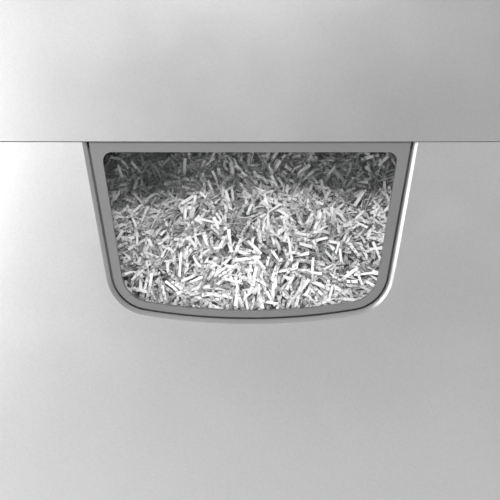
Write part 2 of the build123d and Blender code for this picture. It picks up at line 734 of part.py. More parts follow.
with BuildPart() as power_board:
    with BuildSketch(Plane.XY.offset(tray_top + board_lift)):
        with Locations((board_x, board_y)):
            RectangleRounded(board_width, board_depth, 2)
    extrude(amount=board_gauge)
    for (block_x, block_y), (block_width, block_depth), block_height in board_blocks:
        with BuildSketch(Plane.XY.offset(board_face)):
            with Locations((board_x + block_x, board_y + block_y)):
                Rectangle(block_width, block_depth)
        extrude(amount=block_height)
    with BuildSketch(Plane.XY.offset(board_face)):
        with Locations(*[(board_x + x, board_y - 16) for x in (-30, -10, 10)]):
            Circle(7)
    extrude(amount=20)
finish(power_board, "power_board")

# ---------------------------------------------------------------- cutting block
half_shaft_hex = 10.0        # half the distance across the shaft's flats
hex_reach = 118.0
shaft_reach_left = chassis_outer + 1.5 + sync_width
disc_span = disc_pitch * (disc_count - 1) / 2
groove_angle = radians(14.0)


def groove_face():
    """The V grooves that run along a cutter, seen along its axis."""
    rim = disc_radius + 1
    with BuildSketch(mode=Mode.PRIVATE) as face:
        with PolarLocations(0, grooves):
            Polygon((disc_radius - groove_depth, 0), (rim * cos(groove_angle), rim * sin(groove_angle)),
                    (rim, 0), align=None)
    return face.sketch


def cutter_outline():
    """Half of a cutter's turned outline: its discs stand up from the core."""
    points = [(-disc_span - disc_thickness / 2, 0)]
    for n in range(disc_count):
        middle = disc_pitch * n - disc_span
        left, right = middle - disc_thickness / 2, middle + disc_thickness / 2
        points += [(left, core_radius), (left, disc_radius), (right, disc_radius), (right, core_radius)]
    points.append((disc_span + disc_thickness / 2, 0))
    del points[1], points[-2]
    return points


def hexagon(gap):
    """Hexagonal section of a cutter shaft, widened by gap all round."""
    return RegularPolygon(half_shaft_hex + gap, 6, major_radius=False)


cutter_grooves = groove_face()
cutter_sides = {"front": -1, "rear": 1}
for name, side in cutter_sides.items():
    axis_y = side * cutter_axis_y
    shift = side * disc_pitch / 4
    with BuildPart() as cutter:
        with BuildSketch(Plane(origin=(shift, axis_y, cutter_height), x_dir=(1, 0, 0), z_dir=(0, -1, 0))):
            Polygon(*cutter_outline(), align=None)
        revolve(axis=Axis((0, axis_y, cutter_height), (1, 0, 0)))
        with BuildSketch(shaft_plane(shift, axis_y)):
            add(cutter_grooves)
        extrude(amount=chassis_inner, both=True, mode=Mode.SUBTRACT)
        with BuildSketch(shaft_plane(0, axis_y)):
            hexagon(seat_gap)
        extrude(amount=chassis_inner, both=True, mode=Mode.SUBTRACT)
    finish(cutter, f"cutter_{name}")

    with BuildPart() as shaft:
        right_end = drive_start + drive_width if name == "rear" else chassis_outer + 4
        with BuildSketch(shaft_plane(0, axis_y)):
            hexagon(0)
        extrude(amount=hex_reach, both=True)
        with BuildSketch(shaft_plane(0, axis_y)):
            Circle(journal_radius)
        extrude(amount=right_end)
        with BuildSketch(shaft_plane(0, axis_y)):
            Circle(journal_radius)
        extrude(amount=-shaft_reach_left)
    finish(shaft, f"cutter_shaft_{name}")

    with BuildPart() as sync_gear:
        tooth_turn = 0 if name == "front" else 180 + 180 / sync_teeth
        with BuildSketch(shaft_plane(-shaft_reach_left, axis_y)):
            add(gear_face(sync_teeth, sync_module, tooth_turn))
            Circle(journal_radius + seat_gap, mode=Mode.SUBTRACT)
        extrude(amount=sync_width)
    finish(sync_gear, f"sync_gear_{name}")

with BuildPart() as drive_gear:
    with BuildSketch(shaft_plane(drive_start, cutter_axis_y)):
        add(gear_face(drive_teeth, drive_module, 0))
        Circle(journal_radius + seat_gap, mode=Mode.SUBTRACT)
    extrude(amount=drive_width)
finish(drive_gear, "drive_gear")

with BuildPart() as idler_gear:
    with BuildSketch(shaft_plane(drive_start, idler_y)):
        add(gear_face(step_small, drive_module, 180 + 180 / step_small))
    extrude(amount=step_start - drive_start)
    with BuildSketch(shaft_plane(step_start, idler_y)):
        add(gear_face(step_large, step_module, 0))
    extrude(amount=step_width)
    with BuildSketch(shaft_plane(drive_start - 1, idler_y)):
        Circle(idler_pin_radius + running_gap)
    extrude(amount=step_start + step_width, mode=Mode.SUBTRACT)
finish(idler_gear, "idler_gear")

rod_y, rod_z = tie_rod_reach
rod_places = [(y, cutter_height + z) for y in (-rod_y, rod_y) for z in (-rod_z, rod_z)]
comb_inner = cutter_axis_y + disc_radius + 2.0
comb_low, comb_high = cutter_height - 12, cutter_height + 2
foot_width = 17.0
foot_gauge = 2.5
foot_screws = [(side * (chassis_outer + 8), y) for side in (-1, 1) for y in (-foot_screw_y, foot_screw_y)]
for name, side, rear_reach in (("left", -1, chassis_half_depth), ("right", 1, motor_y + motor_radius + 4)):
    middle_y = (rear_reach - chassis_half_depth) / 2
    with BuildPart() as chassis_plate:
        with BuildSketch(shaft_plane(side * chassis_inner, 0, 0)):
            with Locations((middle_y, (tray_top + chassis_top) / 2)):
                RectangleRounded(rear_reach + chassis_half_depth, chassis_top - tray_top, 6)
        extrude(amount=side * chassis_gauge)
        with BuildSketch(Plane.XY.offset(tray_top)):
            with Locations((side * (chassis_inner + foot_width / 2), 0)):
                Rectangle(foot_width, 2 * chassis_half_depth - 8)
        extrude(amount=foot_gauge)
        with BuildSketch(Plane.XY.offset(tray_top)):
            with Locations(*[spot for spot in foot_screws if spot[0] * side > 0]):
                Circle(screw_radius + seat_gap)
        extrude(amount=foot_gauge, mode=Mode.SUBTRACT)
        with BuildSketch(shaft_plane(0, 0, 0)):
            with Locations((-cutter_axis_y, cutter_height), (cutter_axis_y, cutter_height)):
                Circle(bearing_outer + seat_gap)
            with Locations(*rod_places):
                Circle(3 + seat_gap)
            if side > 0:
                with Locations((idler_y, cutter_height)):
                    Circle(idler_pin_radius + seat_gap)
                with Locations((motor_y, cutter_height)):
                    Circle(9)
        extrude(amount=side * (chassis_outer + 1), mode=Mode.SUBTRACT)
    finish(chassis_plate, f"chassis_plate_{name}")

with BuildPart() as tie_rods:
    with BuildSketch(shaft_plane(0, 0, 0)):
        with Locations(*rod_places):
            Circle(tie_rod_radius)
    extrude(amount=chassis_inner, both=True)
    with BuildSketch(shaft_plane(0, 0, 0)):
        with Locations(*rod_places):
            Circle(3)
    extrude(amount=chassis_outer + 4.5, both=True)
finish(tie_rods, "tie_rods")

with BuildPart() as tie_rod_nuts:
    for side in (-1, 1):
        with BuildSketch(shaft_plane(side * chassis_outer, 0, 0)):
            with Locations(*rod_places):
                RegularPolygon(5, 6, major_radius=False)
                Circle(3 + seat_gap, mode=Mode.SUBTRACT)
        extrude(amount=side * 3.5)
finish(tie_rod_nuts, "tie_rod_nuts")

with BuildPart() as shaft_bushings:
    for side in (-1, 1):
        with BuildSketch(shaft_plane(side * (chassis_inner - 1.6), 0, 0)):
            with Locations((-cutter_axis_y, cutter_height), (cutter_axis_y, cutter_height)):
                Circle(bearing_outer + 2.5)
                Circle(journal_radius + running_gap, mode=Mode.SUBTRACT)
        extrude(amount=side * 1.6)
        with BuildSketch(shaft_plane(side * chassis_inner, 0, 0)):
            with Locations((-cutter_axis_y, cutter_height), (cutter_axis_y, cutter_height)):
                Circle(bearing_outer)
                Circle(journal_radius + running_gap, mode=Mode.SUBTRACT)
        extrude(amount=side * (chassis_gauge + 0.4))
finish(shaft_bushings, "shaft_bushings")

for name, side in cutter_sides.items():
    shift = side * disc_pitch / 4
    finger_root = side * (comb_inner + 1)
    finger_tip = side * (cutter_axis_y + core_radius + comb_reach)
    with BuildPart() as comb:
        with BuildSketch(Plane.XZ.offset(-side * comb_inner)):
            with Locations((0, (comb_low + comb_high) / 2)):
                Rectangle(2 * chassis_inner - 2 * seat_gap, comb_high - comb_low)
        extrude(amount=-side * comb_bar)
        with BuildSketch(Plane.XY.offset(cutter_height - 4)):
            with Locations(*[(shift - disc_span + disc_pitch * (n - 0.5), (finger_root + finger_tip) / 2)
                             for n in range(disc_count + 1)]):
                Rectangle(comb_finger, abs(finger_root - finger_tip))
        extrude(amount=4)
    finish(comb, f"comb_{name}")

with BuildPart() as idler_pin:
    with BuildSketch(shaft_plane(chassis_inner, idler_y)):
        Circle(idler_pin_radius)
    extrude(amount=step_start + step_width + 1.5 - chassis_inner)
    with BuildSketch(shaft_plane(step_start + step_width + 0.4, idler_y)):
        Circle(idler_pin_radius + 2.5)
    extrude(amount=1.1)
finish(idler_pin, "idler_pin")

# ---------------------------------------------------------------- motor
stator_gap = 0.6
with BuildPart() as motor_can:
    with BuildSketch(shaft_plane(motor_start + motor_bell, motor_y)):
        Circle(motor_radius)
        Circle(motor_radius - motor_wall, mode=Mode.SUBTRACT)
    extrude(amount=motor_length - 2 * motor_bell)
finish(motor_can, "motor_can")

with BuildPart() as motor_end_bells:
    for start in (motor_start, motor_end - motor_bell):
        with BuildSketch(shaft_plane(start, motor_y)):
            Circle(motor_radius)
            with PolarLocations(19, 6):
                Circle(5, mode=Mode.SUBTRACT)
            Circle(motor_shaft_radius + running_gap, mode=Mode.SUBTRACT)
        extrude(amount=motor_bell)
finish(motor_end_bells, "motor_end_bells")

with BuildPart() as motor_stator:
    with BuildSketch(shaft_plane(motor_start + 18, motor_y)):
        Circle(motor_radius - motor_wall - seat_gap)
        Circle(armature_radius + stator_gap, mode=Mode.SUBTRACT)
    extrude(amount=motor_length - 36)
finish(motor_stator, "motor_stator")

with BuildPart() as armature:
    with BuildSketch(shaft_plane(motor_start - 16, motor_y)):
        Circle(motor_shaft_radius)
    extrude(amount=step_start + step_width + 1 - motor_start + 16)
    with BuildSketch(shaft_plane(motor_start + 20, motor_y)):
        Circle(armature_radius)
    extrude(amount=motor_length - 40)
    with BuildSketch(shaft_plane(motor_start + 14, motor_y)):
        Circle(armature_radius - 5)
    extrude(amount=motor_length - 28)
    with BuildSketch(shaft_plane(motor_start + 7, motor_y)):
        Circle(9)
    extrude(amount=8)
finish(armature, "armature")

with BuildPart() as motor_pinion:
    with BuildSketch(shaft_plane(step_start, motor_y)):
        add(gear_face(pinion_teeth, step_module, 180 + 180 / pinion_teeth))
        Circle(motor_shaft_radius + seat_gap, mode=Mode.SUBTRACT)
    extrude(amount=step_width)
finish(motor_pinion, "motor_pinion")

with BuildPart() as cooling_fan:
    with BuildSketch(shaft_plane(motor_start - 14, motor_y)):
        Circle(fan_radius)
    extrude(amount=1.5)
    with BuildSketch(shaft_plane(motor_start - 14, motor_y)):
        Circle(8)
        with PolarLocations(8 + (fan_radius - 9) / 2, fan_blades):
            Rectangle(fan_radius - 8, 1.6)
    extrude(amount=11)
    with BuildSketch(shaft_plane(motor_start - 15, motor_y)):
        Circle(motor_shaft_radius + seat_gap)
    extrude(amount=15, mode=Mode.SUBTRACT)
finish(cooling_fan, "cooling_fan")

# ---------------------------------------------------------------- controls
panel_face = panel_gauge - pocket_depth
button_proud = 1.8
button_flange = 1.4
button_length = 8.0
switch_height = 1.4
control_board_level = panel_face + button_proud - button_length - button_travel - 0.3 - switch_height
board_screws = [(sx * (panel_width / 2 - 4), sy * (panel_depth / 2 - 5)) for sx in (-1, 1) for sy in (-1, 1)]

with BuildPart() as control_panel:
    with BuildSketch(facet.offset(-pocket_depth)):
        RectangleRounded(panel_width, panel_depth, 5)
        with Locations(*[(x, 0) for x in button_places.values()]):
            Circle(button_radius + button_clear, mode=Mode.SUBTRACT)
        with Locations(*[(x, 0) for x in led_places]):
            Circle(led_radius + seat_gap, mode=Mode.SUBTRACT)
    extrude(amount=panel_gauge)
finish(control_panel, "control_panel")

for name, x in button_places.items():
    with BuildPart() as button:
        with BuildSketch(facet.offset(panel_face + button_proud)):
            with Locations((x, 0)):
                Circle(button_radius)
        extrude(amount=-button_length)
        fillet(button.faces().sort_by(Axis.Z)[-1].edges(), 0.8)
        with BuildSketch(facet.offset(-head_wall - 0.3)):
            with Locations((x, 0)):
                Circle(button_radius + 1.3)
        extrude(amount=-button_flange)
    finish(button, name)

with BuildPart() as led_lenses:
    with BuildSketch(facet.offset(panel_face + 0.4)):
        with Locations(*[(x, 0) for x in led_places]):
            Circle(led_radius)
    extrude(amount=control_board_level - panel_face - 0.4)
finish(led_lenses, "led_lenses")

with BuildPart() as control_board:
    with BuildSketch(facet.offset(control_board_level)):
        RectangleRounded(panel_width, panel_depth - 4, 2)
    extrude(amount=-board_gauge)
    with BuildSketch(facet.offset(control_board_level)):
        with Locations(*[(x, 0) for x in button_places.values()]):
            Rectangle(6, 6)
    extrude(amount=switch_height)
    with BuildSketch(facet.offset(control_board_level)):
        with Locations(*board_screws):
            Circle(2)
    extrude(amount=-head_wall - control_board_level)
finish(control_board, "control_board")

# ---------------------------------------------------------------- mains inlet and switch

inlet_cavity = (24.0, 16.5, 16.0)
with BuildPart() as power_inlet:
    with BuildSketch(Plane.XZ.offset(-head_rear)):
        with Locations((inlet_x, rear_kit_height)):
            RectangleRounded(50, 27, 5)
        with Locations(*inlet_ears):
            Circle(screw_radius + seat_gap, mode=Mode.SUBTRACT)
    extrude(amount=-flange_gauge)
    with BuildSketch(Plane.XZ.offset(-head_rear)):
        with Locations((inlet_x, rear_kit_height)):
            Rectangle(inlet_width, inlet_rise)
    extrude(amount=inlet_depth_in)
    with BuildSketch(Plane.XZ.offset(-head_rear - flange_gauge)):
        with Locations((inlet_x, rear_kit_height)):
            RectangleRounded(inlet_cavity[0], inlet_cavity[1], 3)
    extrude(amount=inlet_cavity[2], mode=Mode.SUBTRACT)
    with BuildSketch(Plane.XZ.offset(-head_rear - flange_gauge + inlet_cavity[2])):
        with Locations((inlet_x - 7, rear_kit_height - 2), (inlet_x, rear_kit_height + 2),
                       (inlet_x + 7, rear_kit_height - 2)):
            Rectangle(2, 4)
    extrude(amount=-9)
finish(power_inlet, "power_inlet")

rocker_pivot_y = head_rear - 3.8
rocker_tilt = 10.0
rocker_half, rocker_pin = 6.6, 1.5
with BuildPart() as switch_bezel:
    with BuildSketch(Plane.XZ.offset(-head_rear)):
        with Locations((switch_x, rear_kit_height)):
            RectangleRounded(23, 33, 2)
    extrude(amount=-flange_gauge)
    with BuildSketch(Plane.XZ.offset(-head_rear)):
        with Locations((switch_x, rear_kit_height)):
            Rectangle(bezel_width, bezel_rise)
    extrude(amount=inlet_depth_in)
    with BuildSketch(Plane.XZ.offset(-head_rear - flange_gauge)):
        with Locations((switch_x, rear_kit_height)):
            Rectangle(2 * rocker_half + 0.8, 24)
    extrude(amount=inlet_cavity[2], mode=Mode.SUBTRACT)
    with BuildSketch(shaft_plane(switch_x, rocker_pivot_y, rear_kit_height)):
        Circle(rocker_pin + running_gap)
    extrude(amount=rocker_half + 1.8, both=True, mode=Mode.SUBTRACT)
finish(switch_bezel, "switch_bezel")

with BuildPart() as rocker_switch:
    rocker_plane = Plane(
        origin=(switch_x, rocker_pivot_y, rear_kit_height),
        x_dir=(0, cos(radians(rocker_tilt)), sin(radians(rocker_tilt))),
        z_dir=(1, 0, 0),
    )
    with BuildSketch(rocker_plane):
        Polygon((3, 0), (4.85, 10.5), (2, 10.8), (-4, 6), (-4, -6), (2, -10.8), (4.85, -10.5), align=None)
    extrude(amount=rocker_half, both=True)
    with BuildSketch(rocker_plane):
        Circle(rocker_pin)
    extrude(amount=rocker_half + 1.6, both=True)
finish(rocker_switch, "rocker_switch")

# ---------------------------------------------------------------- casing fasteners
with BuildPart() as casing_screws:
    for spots, level, rise, shank in (
        (cover_bosses, tray_base - 0.1, -1, tray_floor + 10),
        (deck_screws, tray_top + 0.1, 1, tray_floor),
        (foot_screws, tray_top + foot_gauge + 0.1, 1, foot_gauge),
    ):
        with BuildSketch(Plane.XY.offset(level)):
            with Locations(*spots):
                Circle(screw_head_radius)
        extrude(amount=rise * screw_head)
        with BuildSketch(Plane.XY.offset(level)):
            with Locations(*spots):
                Circle(screw_radius)
        extrude(amount=-rise * shank)
    with BuildSketch(Plane.XZ.offset(-head_rear - flange_gauge + 1.6)):
        with Locations(*inlet_ears):
            Circle(screw_radius)
    extrude(amount=head_wall)
finish(casing_screws, "casing_screws")
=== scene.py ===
# %% [markdown]
# # A paper shredder, dressed for its portrait
# This lesson takes an office shredder that is already built piece by piece in CAD, and gives it the
# look of the real machine: silver paint, moulded plastic, cut steel, a clear window, and a heap of
# shredded paper behind it. Nothing is moved. The CAD pieces say where everything is, and each new
# piece takes its place from them.

# %% Load the machine
import json
from math import cos, pi, radians, sin

import bmesh
import bpy
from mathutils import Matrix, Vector, noise
from mathutils.bvhtree import BVHTree


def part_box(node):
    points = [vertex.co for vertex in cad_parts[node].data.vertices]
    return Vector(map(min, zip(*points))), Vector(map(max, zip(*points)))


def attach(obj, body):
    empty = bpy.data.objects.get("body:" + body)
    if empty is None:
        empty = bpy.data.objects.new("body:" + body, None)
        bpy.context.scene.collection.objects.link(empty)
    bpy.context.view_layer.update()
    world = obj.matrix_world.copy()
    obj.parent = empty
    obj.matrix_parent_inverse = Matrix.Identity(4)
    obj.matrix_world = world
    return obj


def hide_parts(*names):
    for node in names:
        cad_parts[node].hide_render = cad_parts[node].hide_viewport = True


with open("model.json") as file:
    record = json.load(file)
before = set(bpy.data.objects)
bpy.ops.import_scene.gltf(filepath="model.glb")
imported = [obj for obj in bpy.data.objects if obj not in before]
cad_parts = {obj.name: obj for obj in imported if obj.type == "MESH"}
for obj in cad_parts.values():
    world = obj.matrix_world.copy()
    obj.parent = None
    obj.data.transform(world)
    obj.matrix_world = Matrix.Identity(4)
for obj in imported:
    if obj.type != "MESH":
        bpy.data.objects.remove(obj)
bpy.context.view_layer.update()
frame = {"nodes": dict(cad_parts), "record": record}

MM = 0.001

# %% [markdown]
# ## The camera
# The picture looks almost straight at the bin's window from a little above, through a long lens, so
# the front shows nearly no perspective. A long lens a metre away could be copied with an orthographic
# camera, but a real lens keeps its small perspective in every other view too.

# %% Set the camera
PICTURE_WIDTH = 310 * MM     # what the picture spans at the machine's front
LENS, SENSOR = 110.0, 36.0   # millimetres: the focal length and the width of the sensor
CAMERA_LIFT = radians(7.0)   # how steeply the camera looks down
AIM_BELOW_SEAM = 67.1 * MM   # the picture's middle, below the seam between the head and the bin


def set_camera():
    """A long lens in front of the window, looking slightly down."""
    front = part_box("bin_front")[0].y
    target = Vector((0.0, front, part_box("head_cover")[0].z - AIM_BELOW_SEAM))
    distance = PICTURE_WIDTH * LENS / SENSOR
    data = bpy.data.cameras.new("camera")
    data.lens = LENS
    data.sensor_width = SENSOR
    data.clip_start = 0.01
    camera = bpy.data.objects.new("camera", data)
    camera.location = target + distance * Vector((0, -cos(CAMERA_LIFT), sin(CAMERA_LIFT)))
    camera.rotation_euler = (target - camera.location).to_track_quat("-Z", "Y").to_euler()
    bpy.context.scene.collection.objects.link(camera)
    bpy.context.scene.camera = camera
    return distance


print("camera distance in metres:", round(set_camera(), 3))

# %% [markdown]
# ## Light
# Five softboxes share the work, because one lamp that did it all would be a compromise. The key lamp
# hangs high and nearly in front, so the gap beside the bin stays even and the top of the window falls
# into the head's shade. A low lamp on the left gives the paint its slow fall of tone to the right.
# A tall lamp beside the machine on the left finds only the slanted edges, and whitens the window's
# far chamfer. A weak one low on the right looks in through the window and reaches the paper in its
# top left corner, which the others leave black. A wide lamp behind, on the right, is for whoever walks
# round the machine: the others never reach its back, its top and its right side. A grey room fills the
# shadows. Area lamps are used because a point lamp would leave small hard highlights on the paint.

# %% Set the lamps and the room
ROOM_GREY = 0.24
LAMPS = (                    # name, place and size in metres, power in watts, the place it faces
    ("key_softbox", (-0.08, -1.08, 1.02), (0.36, 0.36), 9.3, (0.0, -0.13, 0.38)),
    ("left_edge_lamp", (-0.92, -0.44, 0.80), (0.25, 1.0), 4.6, (0.0, -0.13, 0.40)),
    ("window_lamp", (0.9, -0.85, 0.30), (0.3, 0.3), 2.3, (-0.05, -0.11, 0.42)),
    ("panel_lamp", (-0.72, -1.05, 0.40), (0.4, 0.4), 4.5, (0.0, -0.13, 0.38)),
    ("rear_lamp", (0.95, 1.15, 1.35), (1.8, 1.8), 13.0, (0.0, 0.0, 0.35)),
)


def softbox(name, place, size, power, target):
    """One rectangular area lamp that faces its target."""
    data = bpy.data.lights.new(name, "AREA")
    data.shape = "RECTANGLE"
    data.size, data.size_y = size
    data.energy = power
    lamp = bpy.data.objects.new(name, data)
    lamp.location = place
    lamp.rotation_euler = (Vector(target) - lamp.location).to_track_quat("-Z", "Y").to_euler()
    lamp.visible_camera = False
    bpy.context.scene.collection.objects.link(lamp)


def light_room():
    """The pale room that lights every side a little."""
    room = bpy.data.worlds.new("pale_room")
    room.use_nodes = True
    sky = room.node_tree.nodes["Background"]
    sky.inputs["Color"].default_value = (ROOM_GREY, ROOM_GREY, ROOM_GREY, 1.0)
    sky.inputs["Strength"].default_value = 1.0
    bpy.context.scene.world = room


light_room()
for name, place, size, power, target in LAMPS:
    softbox(name, place, size, power, target)
bpy.context.scene.view_settings.view_transform = "Standard"

# %% [markdown]
# ## Tools for finishes
# Colours are chosen as sRGB hex codes, the way a paint chart gives them, and the shaders want linear
# numbers, so one function turns one into the other. A second small function adds a node, sets it and
# links it. Everything else in the finishes is built from those two.

# %% Colour and node helpers


def linear(code):
    """An sRGB hex colour as the linear numbers that the shaders take."""
    channels = [int(code[i:i + 2], 16) / 255 for i in (1, 3, 5)]
    return tuple(c / 12.92 if c <= 0.04045 else ((c + 0.055) / 1.055) ** 2.4 for c in channels) + (1.0,)


def add(tree, kind, inputs=None, **settings):
    """Adds one node, sets its properties, and fills or links its inputs by name or number."""
    made = tree.nodes.new(kind)
    for name, value in settings.items():
        setattr(made, name, value)
    for key, value in (inputs or {}).items():
        if isinstance(value, bpy.types.NodeSocket):
            tree.links.new(value, made.inputs[key])
        else:
            made.inputs[key].default_value = value
    return made


def shade(code, factor):
    """The linear colour made lighter or darker by a factor."""
    return tuple(min(1.0, c * factor) for c in linear(code)[:3]) + (1.0,)


def start_material(name):
    """An empty material with an output, and its node tree."""
    finish = bpy.data.materials.new(name)
    finish.use_nodes = True
    finish.node_tree.nodes.clear()
    return finish, finish.node_tree


def end_material(tree, inputs, bump=None):
    """Closes a material with one Principled shader."""
    shader = add(tree, "ShaderNodeBsdfPrincipled", inputs)
    if bump is not None:
        tree.links.new(bump, shader.inputs["Normal"])
    add(tree, "ShaderNodeOutputMaterial", {"Surface": shader.outputs["BSDF"]})


def place_scale(millimetres):
    """Noise scale, per metre of Object coordinates, for a feature of this size."""
    return 1000.0 / millimetres


print("pure white in linear numbers:", linear("#FFFFFF"))

# %% [markdown]
# ## Moulded plastic
# ABS is injected into a steel mould whose wall was etched with a fine grain, so the plastic comes out
# satin, with a pebbled bump about half a millimetre wide that breaks up reflections. The colour runs
# through the whole wall, so it varies only a little. One function makes every moulding, and only the
# colour, gloss and grain change.

# %% Moulded ABS


def moulded(name, code, roughness=0.5, grain=0.6, depth=0.03, mottle=0.05, coat=0.0):
    """Grained ABS: grain and depth are the width and height of the etched texture in millimetres."""
    finish, tree = start_material(name)
    where = add(tree, "ShaderNodeTexCoord").outputs["Object"]
    pebbles = add(tree, "ShaderNodeTexNoise",
                  {"Vector": where, "Scale": place_scale(grain), "Detail": 3.0, "Roughness": 0.6})
    cloud = add(tree, "ShaderNodeTexNoise", {"Vector": where, "Scale": place_scale(45.0), "Detail": 4.0})
    blend = add(tree, "ShaderNodeMath", {0: pebbles.outputs["Fac"], 1: cloud.outputs["Fac"]},
                operation="MULTIPLY")
    tone = add(tree, "ShaderNodeMapRange", {"Value": blend.outputs[0], "From Min": 0.1, "From Max": 0.4})
    colour = add(tree, "ShaderNodeMix",
                 {0: tone.outputs[0], 6: shade(code, 1 - mottle), 7: shade(code, 1 + mottle)},
                 data_type="RGBA")
    gloss = add(tree, "ShaderNodeMapRange",
                {"Value": cloud.outputs["Fac"], "From Min": 0.3, "From Max": 0.7,
                 "To Min": roughness - 0.04, "To Max": roughness + 0.05})
    bump = add(tree, "ShaderNodeBump",
               {"Height": pebbles.outputs["Fac"], "Distance": depth * MM, "Strength": 1.0})
    end_material(tree, {"Base Color": colour.outputs[2], "Roughness": gloss.outputs[0], "IOR": 1.5,
                        "Coat Weight": coat, "Coat Roughness": 0.12}, bump.outputs["Normal"])
    return finish


mouldings = {
    "base_black": moulded("black_abs_grained", "#2B2B2D", 0.55, 0.7, 0.04),
    "frame_grey": moulded("frame_abs_satin_grey", "#6F6F70", 0.42, 0.5, 0.012, 0.02),
    "bucket_grey": moulded("bucket_polypropylene_grey", "#46464A", 0.5, 1.2, 0.02),
    "throat_black": moulded("throat_abs_satin_black", "#1F1F21", 0.32, 0.5, 0.015),
    "panel_black": moulded("panel_polycarbonate_gloss_black", "#151517", 0.18, 0.5, 0.004, 0.03, 0.6),
    "button_grey": moulded("button_abs_satin_grey", "#A2A2A4", 0.38, 0.5, 0.012, 0.02),
    "switch_black": moulded("switch_nylon_black", "#222224", 0.42, 0.6, 0.02),
    "castor_black": moulded("castor_nylon_black", "#29292B", 0.45, 0.8, 0.03),
    "nylon_white": moulded("gear_nylon_natural", "#DCD9CF", 0.4, 0.9, 0.015, 0.03),
}
print("moulded finishes:", len(mouldings))

# %% [markdown]
# ## Silver paint
# The front of the machine is ABS sprayed with silver paint. Aluminium flakes about a tenth of a
# millimetre wide lie in the lacquer at slightly different angles, so the surface is metallic and soft
# at once, with a fine sparkle. Flakes that small don't show from a metre away, so they are drawn half
# a millimetre wide.

# %% Silver paint


def silver_paint(name, code, flake=0.5, roughness=0.36, metal=0.8):
    """Sprayed aluminium-flake lacquer over moulded plastic."""
    finish, tree = start_material(name)
    where = add(tree, "ShaderNodeTexCoord").outputs["Object"]
    flakes = add(tree, "ShaderNodeTexVoronoi", {"Vector": where, "Scale": place_scale(flake)})
    grey = add(tree, "ShaderNodeSeparateColor", {"Color": flakes.outputs["Color"]})
    spray = add(tree, "ShaderNodeTexNoise", {"Vector": where, "Scale": place_scale(60.0), "Detail": 3.0})
    colour = add(tree, "ShaderNodeMix",
                 {0: grey.outputs["Red"], 6: shade(code, 0.95), 7: shade(code, 1.05)}, data_type="RGBA")
    gloss = add(tree, "ShaderNodeMapRange",
                {"Value": spray.outputs["Fac"], "From Min": 0.3, "From Max": 0.7,
                 "To Min": roughness - 0.02, "To Max": roughness + 0.02})
    bump = add(tree, "ShaderNodeBump",
               {"Height": grey.outputs["Green"], "Distance": 0.004 * MM, "Strength": 1.0})
    end_material(tree, {"Base Color": colour.outputs[2], "Metallic": metal, "Roughness": gloss.outputs[0]},
                 bump.outputs["Normal"])
    return finish


paints = {
    "silver_panel": silver_paint("silver_lacquer_front", "#CACACB"),
    "silver_moulding": silver_paint("silver_lacquer_head", "#BDBDBE"),
    "cabinet_grey": silver_paint("graphite_lacquer_cabinet", "#85868A", 0.5, 0.48, 0.5),
}
print("painted finishes:", len(paints))

# %% [markdown]
# ## Metals
# Ground and turned steel has fine scratches that all run the way the tool went, which stretches its
# highlights. Here a noise is squashed along one axis so that its grains become long scratches. Zinc
# plating is duller and slightly blue, with a faint cloudiness from the bath. Metals keep the default
# index of refraction, because their colour is their reflectance.

# %% Steel, zinc and bronze


def metal(name, code, roughness=0.3, scratch=0.4, along=(0.05, 1.0, 1.0), cloud=8.0):
    """Bare or plated metal: along shrinks the axis that the scratches follow."""
    finish, tree = start_material(name)
    where = add(tree, "ShaderNodeTexCoord").outputs["Object"]
    turned = add(tree, "ShaderNodeMapping", {"Vector": where, "Scale": along})
    scratches = add(tree, "ShaderNodeTexNoise",
                    {"Vector": turned.outputs["Vector"], "Scale": place_scale(scratch), "Detail": 3.0})
    patches = add(tree, "ShaderNodeTexNoise", {"Vector": where, "Scale": place_scale(cloud), "Detail": 3.0})
    colour = add(tree, "ShaderNodeMix",
                 {0: patches.outputs["Fac"], 6: shade(code, 0.86), 7: shade(code, 1.1)}, data_type="RGBA")
    gloss = add(tree, "ShaderNodeMapRange",
                {"Value": scratches.outputs["Fac"], "From Min": 0.3, "From Max": 0.7,
                 "To Min": roughness - 0.07, "To Max": roughness + 0.1})
    bump = add(tree, "ShaderNodeBump",
               {"Height": scratches.outputs["Fac"], "Distance": 0.006 * MM, "Strength": 1.0})
    end_material(tree, {"Base Color": colour.outputs[2], "Metallic": 1.0, "Roughness": gloss.outputs[0]},
                 bump.outputs["Normal"])
    return finish


metals = {
    "tool_steel": metal("ground_tool_steel", "#A4A6AA", 0.32, 0.5, (1.0, 0.2, 0.2)),
    "zinc_steel": metal("zinc_plated_steel", "#B9BDC2", 0.42, 0.9, (1.0, 1.0, 1.0), 5.0),
    "bright_steel": metal("turned_bright_steel", "#C3C5C9", 0.2, 0.3, (1.0, 0.3, 0.3)),
    "bronze": metal("sintered_bronze", "#B5894F", 0.45, 0.5, (1.0, 1.0, 1.0), 1.5),
    "motor_steel": metal("drawn_motor_steel", "#8C9096", 0.38, 0.6, (0.1, 1.0, 1.0)),
}
print("metal finishes:", len(metals))

# %% [markdown]
# ## Motor core, circuit board, rubber and lenses
# These are small or hidden pieces, but a viewer can open the machine, so each one gets the surface of
# the real thing: a core of stacked steel sheets, a green board with copper tracks under the lacquer,
# wheels of grey-black rubber, and clear lenses over the lamps.

# %% Laminated core, board, rubber and lens


